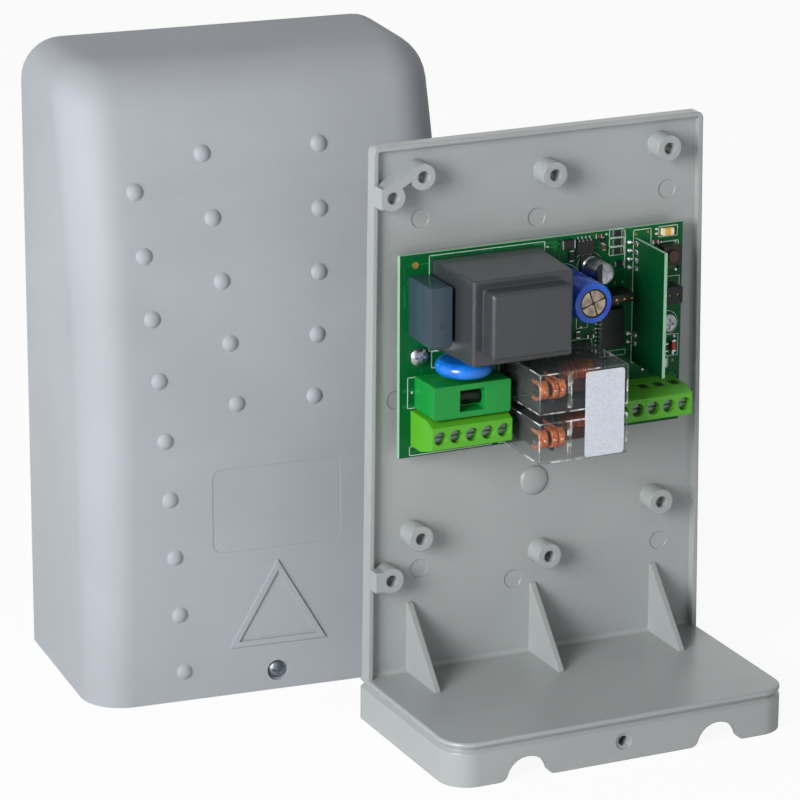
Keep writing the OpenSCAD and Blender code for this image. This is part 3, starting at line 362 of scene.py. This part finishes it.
# The left, low, right and high side of each printed outline.
outlines = (
    (9.3, 31.4, 46.4, 60.0), (2.6, 14.9, 30.6, 24.2), (3.3, 0.5, 30.0, 3.2),
    (10.2, 26.3, 25.6, 31.2), (31.9, 0.6, 62.3, 13.9), (31.9, 15.4, 62.3, 28.8),
    (75.6, 19.4, 81.4, 60.0), (82.4, 36.0, 91.2, 44.6), (84.2, 47.9, 90.6, 55.4),
    (84.0, 57.0, 90.2, 60.1), (63.0, 22.4, 73.6, 24.0), (57.2, 32.2, 60.8, 35.6),
    (87.2, 20.0, 91.2, 26.6), (84.4, 16.4, 88.0, 20.2),
)
for outline in outlines:
    prints.frame_line(*outline)
prints.line([(72.8, 60.2), (72.8, 49.0)], 0.28)
for row in range(3):
    prints.frame_line(67.6, 53.2 + 2.7 * row, 72.4, 55.6 + 2.7 * row)
# The centre and radius of each printed circle.
circles = (
    (*small_can, 4.1), (*large_can, 6.7), (87.3, 30.4, 3.6), (66.5, 30.0, 1.4), (69.2, 25.6, 1.0),
)
for u, v, r in circles:
    prints.line([(u + x, v + y) for x, y in ring(r, 28, whole=True)], 0.22)
header_u, header_pitch = 65.9, 2.54
for k in range(4):
    tick = header_u + header_pitch * k - header_pitch / 2
    prints.line([(tick, 44.4), (tick, 45.0)], 0.2)
prints.done(white_print)

f = Finish("bare_copper_pad")
worn = f.blend(f.noise(900.0).rise(0.3, 0.7), tone("#8a6a2c"), tone("#a9863f"))
amber = f.surface(worn, 0.35, f.noise(900.0), 0.00001, 0.00003)
pads = Work("bare_pads")
large_pad = [(1.0, 0.0), (1.0, 0.035), (0.9, 0.04)]
small_pad = [(0.42, 0.0), (0.42, 0.035), (0.3, 0.04)]
pads.spin(4.9, 57.7, large_pad, 24)
pad_places = (
    (63.2, 31.2), (89.6, 18.5), (76.4, 58.7), (80.4, 59.0),
    (58.5, 52.8), (70.9, 21.5), (48.6, 30.6), (54.6, 31.4),
)
for u, v in pad_places:
    pads.spin(u, v, small_pad, 14)
pads.done(amber)

# Gate mark: the shallow round pip that the moulding's gate leaves on the base, under the
# relays. It is the base's own plastic.
gate = Work("gate_mark")
pip = [(4.5, -5.05), (4.35, -4.75), (3.7, -4.5), (2.7, -4.25), (1.4, -4.1), (0.3, -4.05)]
gate_u, gate_v = 46.6, -14.6
gate.spin(gate_u, gate_v, pip, 40)
gate.done(base_plastic, split=60)

# Board screws: zinc-plated pan heads with a cross, driven into the two posts of the base.
# The finish is the soft bright grey of rolled zinc, with fine marks and duller patches.


def plated(name, code, rough):
    """Plated metal with fine marks and dull patches."""
    f = Finish(name)
    fine = f.noise(1800.0, 3.0)
    dull = f.noise(180.0, 4.0)
    colour = f.blend(dull.rise(0.3, 0.75), shade(code, 1.08), shade(code, 0.8))
    return f.surface(colour, dull * 0.22 + (rough - 0.1), fine, 0.000008, 0.00012, metallic=1.0)


dress("board_screws", plated("zinc_plate", "#c2c5c9", rough=0.28))

# Small parts round the chips: solder joints, and surface parts with a dark or brown ceramic
# body between tinned ends. Most are generic filling for a crowded area whose parts can't be
# told apart, and stand in free spots of the board.
tin = plated("bright_tin", "#dfe1e3", rough=0.24)
receiver_pin_u, receiver_rows = 74.3, (56.5, 53.96, 51.42, 48.88, 28.64, 26.1)
joints = Work("solder_joints")
for v in receiver_rows:
    joints.dome(receiver_pin_u, v, 0.75, 0.6)
joint_places = (
    (4.1, 19.6), (14.4, 29.3), (84.8, 55.3), (89.4, 55.0), (89.9, 46.5), (84.1, 46.6),
    (83.2, 59.5), (83.2, 58.1), (58.7, 32.4), (66.6, 29.0), (89.6, 20.7), (89.9, 25.9),
    (86.9, 26.2), (66.6, 59.8), (47.2, 58.2), (47.4, 33.0), (47.6, 36.4), (63.6, 19.0),
    (65.8, 16.0), (79.5, 16.8), (83.0, 17.2), (86.4, 47.0),
)
for u, v in joint_places:
    joints.dome(u, v, 0.5, 0.35)
joints.done(tin)
dark_parts = Work("dark_surface_parts")
brown_parts = Work("brown_surface_parts")
ends = Work("tinned_ends")


def surface_part(body, u, v, across, up, h):
    """One small part whose ends lie at its two short sides."""
    cap, tuck, proud = 0.4, 0.32, 0.03
    if across > up:
        body.block((u + tuck, v, 0.02), (u + across - tuck, v + up, h), 0.06)
        sides = ((u, v, u + cap, v + up), (u + across - cap, v, u + across, v + up))
    else:
        body.block((u, v + tuck, 0.02), (u + across, v + up - tuck, h), 0.06)
        sides = ((u, v, u + across, v + cap), (u, v + up - cap, u + across, v + up))
    for u0, v0, u1, v1 in sides:
        ends.block((u0 - proud, v0 - proud, 0.0), (u1 + proud, v1 + proud, h + proud), 0.05)


# Each part's lower left corner, its width, its length and its height.
dark_places = (
    (69.0, 50.0, 3.0, 1.5, 1.1), (86.2, 21.6, 1.4, 2.6, 0.9), (54.0, 53.2, 1.5, 3.4, 1.2),
    (51.4, 57.3, 4.2, 2.6, 1.7), (64.5, 57.2, 1.2, 2.2, 0.6), (66.2, 22.6, 2.2, 1.3, 0.6),
    (78.4, 21.0, 1.3, 2.4, 0.7), (82.0, 49.0, 1.2, 2.2, 0.6), (61.5, 41.8, 1.2, 2.2, 0.7),
    (59.4, 37.0, 2.2, 1.3, 0.7), (61.2, 33.6, 1.2, 2.2, 0.6), (60.6, 28.9, 2.2, 1.2, 0.6),
)
brown_places = (
    (62.5, 59.2, 2.2, 1.2, 1.0), (66.2, 38.4, 4.2, 1.5, 1.4), (65.0, 55.2, 1.1, 2.0, 0.8),
    (61.8, 24.3, 1.8, 1.1, 0.8), (81.6, 55.2, 2.0, 1.2, 0.8), (56.8, 29.4, 1.3, 2.2, 0.9),
    (80.6, 17.0, 2.2, 1.2, 0.8),
)
for place in dark_places:
    surface_part(dark_parts, *place)
for place in brown_places:
    surface_part(brown_parts, *place)
ends.block((85.1, 16.9, 0.0), (87.1, 18.05, 1.15), 0.08)
part_black = moulding("part_black", "#17181a", rough=0.3, grain=2200.0, edge=0.00008)
part_brown = moulding("part_brown", "#5b3a2a", rough=0.32, grain=2200.0, edge=0.00008)
dark_parts.done(part_black)
brown_parts.done(part_brown)
ends.done(tin)

# Transformer: windings potted in a grey plastic box, cast full, with a raised panel. It is
# satin all over, with wide soft edges.
potting = moulding(
    "transformer_grey", "#34373b", rough=0.27, grain=1500.0, depth=0.000008, edge=0.0009,
    sheen=0.05, gloss=0.9,
)
dress("transformer", potting)

# Film capacitor: a box of blue-grey plastic, filled with resin. It is as glossy as the
# transformer beside it, with the round mark of an ejector pin on its face.
film_grey = moulding(
    "film_blue_grey", "#31444f", rough=0.26, grain=900.0, depth=0.000006, edge=0.0003, gloss=0.8
)
dress("film_capacitor", film_grey)
mark = Work("film_capacitor_mark")
sunk_ring = [(0.75, 14.68), (0.75, 14.74), (0.62, 14.76), (0.58, 14.71), (0.1, 14.71)]
mark.spin(6.2, 43.2, sunk_ring, 24)
mark.done(film_grey)

# Varistor: a ceramic disc on two wires, dipped in bright blue lacquer that runs down the
# wires in a rounded skin.
f = Finish("varistor_lacquer")
runs = f.noise(160.0, 3.0)
lacquer = f.surface(
    f.blend(runs.rise(0.3, 0.7), tone("#0560c4"), tone("#1078dc")), runs * 0.15 + 0.18,
    runs, 0.00008, 0.0002, coat_weight=0.5, coat_roughness=0.08,
)
dress("varistor", lacquer)

# Fuse holder: a green base soldered to the board, with tinned spring clips, and a pull-out
# carrier of the same plastic that grips the glass fuse.
fuse_green = moulding(
    "fuse_green", "#108e38", rough=0.3, grain=1200.0, depth=0.000008, edge=0.00035, sheen=0.05
)
dress("fuse_base", fuse_green)
dress("fuse_carrier", fuse_green)
dress("fuse_clips", tin)
dress("fuse_caps", tin)
# Painted shade: the clear fuse glass is tinted dark grey-green for the dark inside of the holder's
# window.
f = Finish("fuse_tube")
shaded_glass_tint = f.blend(f.noise(300.0), tone("#2c3532"), tone("#1e2624"))
dress("fuse_glass", f.surface(shaded_glass_tint, 0.05, alpha=0.4))

# Terminal blocks: green plastic housings with a clamp cage and a slotted screw in each
# pole. The screws stand in wells, and the cages open at the foot for the wires. The right
# block has a test slot over each pole, drawn as a thin dark green sheet of painted shade
# on its face.
terminal_green = moulding(
    "terminal_green", "#55a824", rough=0.34, grain=1100.0, depth=0.000008, edge=0.0003, sheen=0.05
)
for side in ("left", "middle", "right"):
    dress("terminal_block_" + side, terminal_green)
dress("terminal_cages", tin)
terminal_zinc = plated("terminal_zinc", "#8a9095", rough=0.24)
for number in range(1, 11):
    dress("terminal_screw_%d" % number, terminal_zinc)
# Painted shade: a thin dark green sheet over each pole stands for the shade in its test slot.
slot_sheets = Work("terminal_slot_shading_sheets")
first_pole, pole_pitch, half_slot = 75.7, 5.08, 1.3
for k in range(3):
    middle = first_pole + pole_pitch * k
    slot_sheets.block((middle - half_slot, 14.2, 5.8), (middle + half_slot, 14.34, 9.6))
slot_sheets.done(moulding("painted_slot_shade", "#0c2a10", rough=0.5, grain=900.0))

# Relays: an open coil and contact set on a black base, under a clear moulded case. Each
# case carries strips of painted highlight along its edges, for the bright lines that its
# thick edges catch, and its inner rib is a block in the same painted highlight. Arched
# copper blades with rivet heads stand inside, under the front of each case.
f = Finish("clear_case")
facing = f.node("ShaderNodeLayerWeight", {}, {"Blend": 0.3}, out=1)
haze = f.noise(240.0, 3.0)
clear_case = f.surface(
    f.blend(haze, tone("#5d6364"), tone("#8d9394")), haze * 0.05 + 0.03, f.noise(90.0),
    alpha=facing * 0.34 + 0.04, specular_ior_level=0.9,
)
# Painted highlight: white strips, broken by noise into grey, for the light on the case's edges.
f = Finish("painted_case_highlight")
broken = f.noise(260.0, 3.0).rise(0.38, 0.58)
painted_case_highlight = f.surface(
    f.blend(broken, tone("#ffffff"), tone("#7d8586")), 0.1,
    alpha=0.8 - broken * 0.62, specular_ior_level=1.0,
)
bobbin = moulding("bobbin_smoke", "#4a4744", rough=0.3, grain=1400.0)
card = moulding("card_red_brown", "#4b1a12", rough=0.4, grain=1400.0)
relay_black = moulding("relay_black", "#17181a", rough=0.34, grain=1400.0, edge=0.0003)
f = Finish("copper_wire")
lay = f.noise(900.0, 2.0, f.stretched(1.0, 0.1, 0.1))
wire_shade = f.blend(lay.rise(0.35, 0.7), tone("#f08038"), tone("#a8421a"))
copper = f.surface(wire_shade, lay * 0.15 + 0.22, lay, 0.00002, 0.00005, metallic=0.75)
f = Finish("contact_blade")
worn = f.noise(700.0, 3.0)
blade_shade = f.blend(worn.rise(0.3, 0.7), tone("#ff9a58"), tone("#d0602a"))
blade = f.surface(blade_shade, worn * 0.15 + 0.14, worn, 0.00001, 0.0001, metallic=0.45)
iron = plated("relay_iron", "#66696c", rough=0.34)
alloy = plated("contact_alloy", "#7a5a3c", rough=0.3)
bright_copper = plated("rivet_copper", "#ffc4a0", rough=0.16)
inset, thick, partition = 0.3, 0.24, 10.4
# Each blade's left and right edge in the case, and the height at which its legs start. The
# arch over the legs has an outer and an inner face, each with its half width and its rise.
blades = ((1.2, 4.2, 17.4), (5.5, 7.4, 17.4), (7.8, 9.8, 12.0))
arch_start, leg_top, arch_faces = 19.4, 20.6, ((3.1, 3.3), (2.75, 2.95))
for level, middle in (("lower", 7.25), ("upper", 22.05)):
    dress("relay_base_" + level, relay_black)
    dress("relay_bobbin_" + level, bobbin)
    dress("relay_winding_" + level, copper, split=50)
    dress("relay_yoke_" + level, iron)
    dress("relay_armature_" + level, iron)
    dress("relay_card_" + level, card)
    dress("relay_spring_" + level, alloy)
    dress("relay_contacts_" + level, alloy)
    dress("relay_case_" + level, clear_case)
    low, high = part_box("relay_case_" + level)
    u0, u1 = low.x / mm - board_x, high.x / mm - board_x
    v0, v1 = low.z / mm - board_z, high.z / mm - board_z
    h0, h1 = board_y - high.y / mm, board_y - low.y / mm
    # Painted highlight: tubes along each case's edges, and a block for its rib.
    strips = Work("relay_case_highlights_" + level)
    left, right, under, over = u0 + inset, u1 - inset, v0 + inset, v1 - inset
    top = h1 - inset
    corners = [(left, under), (right, under), (right, over), (left, over)]
    for a, b in zip(corners, corners[1:] + corners[:1]):
        strips.tube([(*a, top), (*b, top)], thick)
        strips.tube([(*a, h0 + inset), (*a, top)], thick)
    strips.tube([(u0 + partition, under, top), (u0 + partition, over, top)], thick)
    strips.block((u0 + 10.2, v0 + 0.7, h1 - 2.2), (u0 + 11.6, v1 - 0.7, h1 - 1.7))
    strips.done(painted_case_highlight)
    flags = Work("relay_blade_flags_" + level)
    for left, right, leg_start in blades:
        a, b = u0 + left, u0 + right
        arch = []
        for k in range(13):
            t = math.radians(165 - 12.5 * k)
            outer, inner = (
                (middle + half * math.cos(t), arch_start + rise * math.sin(t))
                for half, rise in arch_faces
            )
            arch.append(flags.face_loop([(a, *outer), (b, *outer), (b, *inner), (a, *inner)]))
        flags.skin(arch)
        for side in (-1, 1):
            under, over = sorted((middle + side * 3.0, middle + side * 1.9))
            flags.block((a, under, leg_start), (a + 0.4, over, leg_top))
    flags.done(blade, bevel=0.06)
    rivets = Work("relay_rivets_" + level)
    for left in (3.3, 6.5, 8.9):
        rivets.dome(u0 + left, middle, 0.62, 0.45, 22.6)
    rivets.done(bright_copper)

# Relay label: one bare white paper sticker that lies across both cases. Its face is matt,
# with a faint tooth.
f = Finish("label_paper")
tooth = f.noise(1600.0, 4.0)
paper_shade = f.blend(tooth.rise(0.3, 0.8), tone("#d3d6df"), tone("#c2c6d2"))
dress("relay_label", f.surface(paper_shade, 0.68, tooth, 0.000006, 0.00008))

# Electrolytic capacitors: aluminium cans. The large one wears a blue shrink sleeve that
# laps over the rim and leaves the scored lid bare. The small one is bare, printed with a
# dark field, and stands on a black foot.
f = Finish("sleeve_blue")
bands = f.noise(90.0, 3.0)
sleeve = f.surface(
    f.blend(bands.rise(0.35, 0.7), tone("#1a3fd0"), tone("#1667dc")), bands * 0.1 + 0.2,
    bands, 0.00003, 0.0002, coat_weight=0.4, coat_roughness=0.1,
)
dress("large_capacitor", sleeve)
f = Finish("can_lid")
# Painted shade: the lid's floor below the raised quarters, in its scored grooves, is dark
# brown-grey.
groove_shade = f.box(*zone(40.0, 35.0, 19.6, 60.0, 58.0, 19.83))
turned = f.noise(500.0, 3.0)
lid_shade = f.blend(turned.rise(0.3, 0.7), tone("#d8c9b4"), tone("#9c8d7c"))
lid_shade = f.blend(groove_shade, lid_shade, tone("#4a433d"))
lid_metal = f.surface(lid_shade, 0.24, turned, 0.00001, 0.0001, metallic=1.0)
lid = Work("large_capacitor_lid")
cap_u, cap_v = large_can
lid.spin(cap_u, cap_v, [(4.5, 19.5), (4.5, 19.72), (4.3, 19.78), (0.2, 19.78)], 48)
field_outer, field_inner, field_middle = 3.9, 0.5, 2.2
for quarter in range(4):
    start = math.radians(20 + 90 * quarter)
    arc = [start + math.radians(4 + 82 * k / 12) for k in range(13)]
    points = [(field_outer * math.cos(t), field_outer * math.sin(t)) for t in arc]
    points += [(field_inner * math.cos(t), field_inner * math.sin(t)) for t in reversed(arc)]
    x0 = field_middle * math.cos(start + math.pi / 4)
    y0 = field_middle * math.sin(start + math.pi / 4)
    rows = []
    for h, draw in ((19.77, 0.0), (19.9, 0.14)):
        inward = 1 - draw / field_middle
        rows.append(lid.face_loop([
            (cap_u + x0 + (x - x0) * inward, cap_v + y0 + (y - y0) * inward, h) for x, y in points
        ]))
    lid.skin(rows)
lid.done(lid_metal)
f = Finish("can_aluminium")
fine = f.noise(1400.0, 3.0)
dull = f.noise(180.0, 4.0)
field = f.box(*zone(57.0, 47.0, 9.2, 60.3, 55.0, 10.6))
can_shade = f.blend(dull.rise(0.3, 0.75), tone("#cfd3d6"), tone("#9da2a6"))
can_shade = f.blend(field, can_shade, tone("#1b1c20"))
can = f.surface(can_shade, dull * 0.2 + 0.2, fine, 0.000008, 0.00015, metallic=1.0 - field)
dress("small_capacitor", can)
can_foot = Work("small_capacitor_foot")
half, cut = 3.3, 2.1
sole = [(-half, -half), (cut, -half), (half, -cut), (half, cut), (cut, half), (-half, half)]
u, v = small_can
can_foot.skin([can_foot.face_loop([(u + x, v + y, h) for x, y in sole]) for h in (0.0, 0.95)])
can_foot.done(relay_black, bevel=0.1)

# Receiver board: a small green board on edge, soldered to the main board along its row of
# tinned pins. It carries a chip and a tuning coil on its far side, and its near face is bare.
dress("receiver_board", solder_mask("receiver_green", "#033d1e", 0))
dress("receiver_pins", tin)
dress("receiver_chips", relay_black)
receiver_solder = Work("receiver_solder")
for v in receiver_rows:
    receiver_solder.block((75.3, v - 0.75, 1.0), (75.42, v + 0.75, 3.4))
receiver_solder.done(tin, bevel=0.05)

# Pin headers: gold-plated square pins in a black strip, three of them in a taller black
# sleeve, and a black cap on the two setting pins. The pins are bright above the strip.


def tipped(name, code, plate, bodies, rough):
    """A moulded body inside the given boxes of the board, and plated metal elsewhere."""
    f = Finish(name)
    inside = f.box(*zone(*bodies[0]))
    for body in bodies[1:]:
        inside = inside.math("MAXIMUM", f.box(*zone(*body)))
    dull = f.noise(220.0, 3.0)
    metal = f.blend(dull.rise(0.3, 0.75), shade(plate, 1.08), shade(plate, 0.8))
    moulded = f.blend(dull.rise(0.3, 0.7), shade(code, 1.08), shade(code, 0.9))
    colour, uneven = f.blend(inside, metal, moulded), dull * 0.16 + (rough - 0.08)
    return f.surface(colour, uneven, f.noise(1800.0), 0.000008, 0.0001, metallic=1.0 - inside)


header_strip = [(60, 35, -1, 95, 60, 2.56)]
dress("pin_headers", tipped("header_pins", "#151515", "#d9b55c", header_strip, rough=0.26))
dress("jumper_cap", relay_black)
header_sleeve = Work("header_sleeve")
header_sleeve.block((64.7, 41.0, 2.5), (72.2, 43.4, 7.9), 0.08)
header_sleeve.done(relay_black, bevel=0.12)

# Push switch: a key switch in a small dark brown moulded body, soldered to the board, with
# a round button of a lighter brown.
dress("push_switch", moulding("switch_brown", "#2a1f1d", rough=0.3, grain=1400.0))
dress("switch_button", moulding("button_brown", "#5b3a2c", rough=0.3, grain=1400.0))

# Indicator lamp and glass diode: a cream lamp body with an amber window between its white
# ends, and a red glass bead between two tinned ends.
f = Finish("lamp_cream")
window = f.box(*zone(85.7, 57.0, 0.0, 87.5, 60.2, 3.0))
grain = f.noise(900.0, 3.0)
cream = f.blend(grain.rise(0.3, 0.7), tone("#f1ead0"), tone("#dccfa4"))
cream = f.blend(window, cream, tone("#e0a93c"))
dress("indicator_led", f.surface(cream, grain * 0.1 + 0.22, grain, 0.000006, 0.0001))
bead = [(88, 22.15, -1, 91, 24.65, 3)]
dress("glass_diode", tipped("diode_red", "#c8391c", "#dcdee0", bead, rough=0.2))

# Chips: black epoxy bodies moulded round tinned gull leads, and small ceramic parts with
# tinned ends. They are soldered flat on the board's face.
chip_bodies = [(64.5, 25.8, 0.08, 71.9, 37.4, 3.0), (56.6, 55.05, 0.08, 61.6, 58.95, 3.0)]
dress("control_chips", tipped("chip_epoxy", "#1c1e1f", "#cfd2d4", chip_bodies, rough=0.34))
resistor_bodies = [(68.9, 53.0, -1, 71.1, 62.0, 3.0), (84.5, 17.0, -1, 86.6, 20.0, 3.0)]
resistor_black = tipped("resistor_black", "#26272a", "#d4d7d9", resistor_bodies, rough=0.3)
dress("chip_resistors", resistor_black)

# Cover: one deep grey moulding that drops over the base, and stands beside it here with its
# front to the viewer. It is more matt than the base and a little bluer.
cover_plastic = moulding("cover_plastic", "#9fa3a9", rough=0.55, gloss=0.25)
dress("front_cover", cover_plastic)

# Cover screw: a short zinc-plated screw with a cross in its pan head. It sits in the
# cover's foot, and locks the closed cover to the base.
dress("cover_screw", plated("cover_zinc", "#8c959b", rough=0.4))

# Stage: a white floor, an even white surround that dims a little in front, a large soft lamp
# from the front left and a weak one from the right. The camera has the photograph's angle.
f = Finish("floor_white")
seen = f.node("ShaderNodeLightPath").of("Is Camera Ray")
paint = f.node("ShaderNodeBsdfDiffuse", {}, {"Color": (0.9, 0.9, 0.9, 1.0)})
glow = f.node("ShaderNodeEmission", {}, {"Color": (1.0, 1.0, 1.0, 1.0), "Strength": 1.0})
floor_white = f.node("ShaderNodeMixShader", {}, {0: seen * 0.93, 1: paint, 2: glow})
f.node("ShaderNodeOutputMaterial", {}, {"Surface": floor_white})
floor_mesh = bpy.data.meshes.new("floor")
span, ground = 40.0, cad_low.z - 0.00002
corners = ((-span, -span), (span, -span), (span, span), (-span, span))
floor_mesh.from_pydata([(x, y, ground) for x, y in corners], [], [(0, 1, 2, 3)])
floor = bpy.data.objects.new("floor", floor_mesh)
floor_mesh.materials.append(f.owner)
bpy.context.scene.collection.objects.link(floor)

sky = Finish("surround", world=True)
bpy.context.scene.world = sky.owner
_, backward, upward = sky.parts(sky.coordinates.of("Generated"))
room = (backward.rise(-0.7, 0.8) * 0.6 + 0.4) * (1.0 - upward.rise(0.1, 0.9) * 0.35)
ray = sky.node("ShaderNodeLightPath")
straight = ray.of("Is Camera Ray").math("MAXIMUM", ray.of("Is Transmission Ray"))
shown = straight.math("MAXIMUM", ray.of("Is Glossy Ray"))
given = {"Color": (0.97, 0.985, 1.0, 1.0), "Strength": room * 0.6}
ambient = sky.node("ShaderNodeBackground", {}, given)
given = {"Color": (1.0, 1.0, 1.0, 1.0), "Strength": room.math("MAXIMUM", straight)}
backdrop = sky.node("ShaderNodeBackground", {}, given)
surround = sky.node("ShaderNodeMixShader", {}, {0: shown, 1: ambient, 2: backdrop})
sky.node("ShaderNodeOutputWorld", {}, {"Surface": surround})


def lamp(name, azimuth, elevation, distance, size, power):
    """A square soft lamp. Azimuth 0 is in front of the object, and 90 to its right."""
    between_base_and_cover = Vector((-0.03, 0.0, 0.0))
    data = bpy.data.lights.new(name, "AREA")
    data.shape = "SQUARE"
    data.size = size
    data.energy = power
    o = bpy.data.objects.new(name, data)
    a, e = math.radians(azimuth), math.radians(elevation)
    away = Vector((math.sin(a) * math.cos(e), -math.cos(a) * math.cos(e), math.sin(e)))
    o.location = between_base_and_cover + away * distance
    o.rotation_euler = away.to_track_quat("Z", "Y").to_euler()
    bpy.context.scene.collection.objects.link(o)


lamp("key", azimuth=-60, elevation=17, distance=1.5, size=0.7, power=26.0)
lamp("fill", azimuth=20, elevation=25, distance=2.0, size=1.6, power=2.5)

turn, tilt, roll = (math.radians(a) for a in (25.347, 17.780, 0.252))
stand = (-0.549, -1.0686, 0.36515)
focal_px, frame_px, sensor = 4275.8, 800.0, 36.0
ahead = Vector((math.sin(turn) * math.cos(tilt), math.cos(turn) * math.cos(tilt), -math.sin(tilt)))
level_right = Vector((math.cos(turn), -math.sin(turn), 0))
level_up = level_right.cross(ahead)
right = level_right * math.cos(roll) + level_up * math.sin(roll)
up = level_up * math.cos(roll) - level_right * math.sin(roll)
camera_data = bpy.data.cameras.new("camera")
camera = bpy.data.objects.new("camera", camera_data)
bpy.context.scene.collection.objects.link(camera)
rows = [(right[i], up[i], -ahead[i], stand[i]) for i in range(3)]
camera.matrix_world = Matrix((*rows, (0, 0, 0, 1)))
camera_data.sensor_width = sensor
camera_data.lens = focal_px * sensor / frame_px
camera_data.clip_start = 0.05
camera_data.clip_end = 100.0
bpy.context.scene.camera = camera
bpy.context.scene.view_settings.view_transform = "Standard"
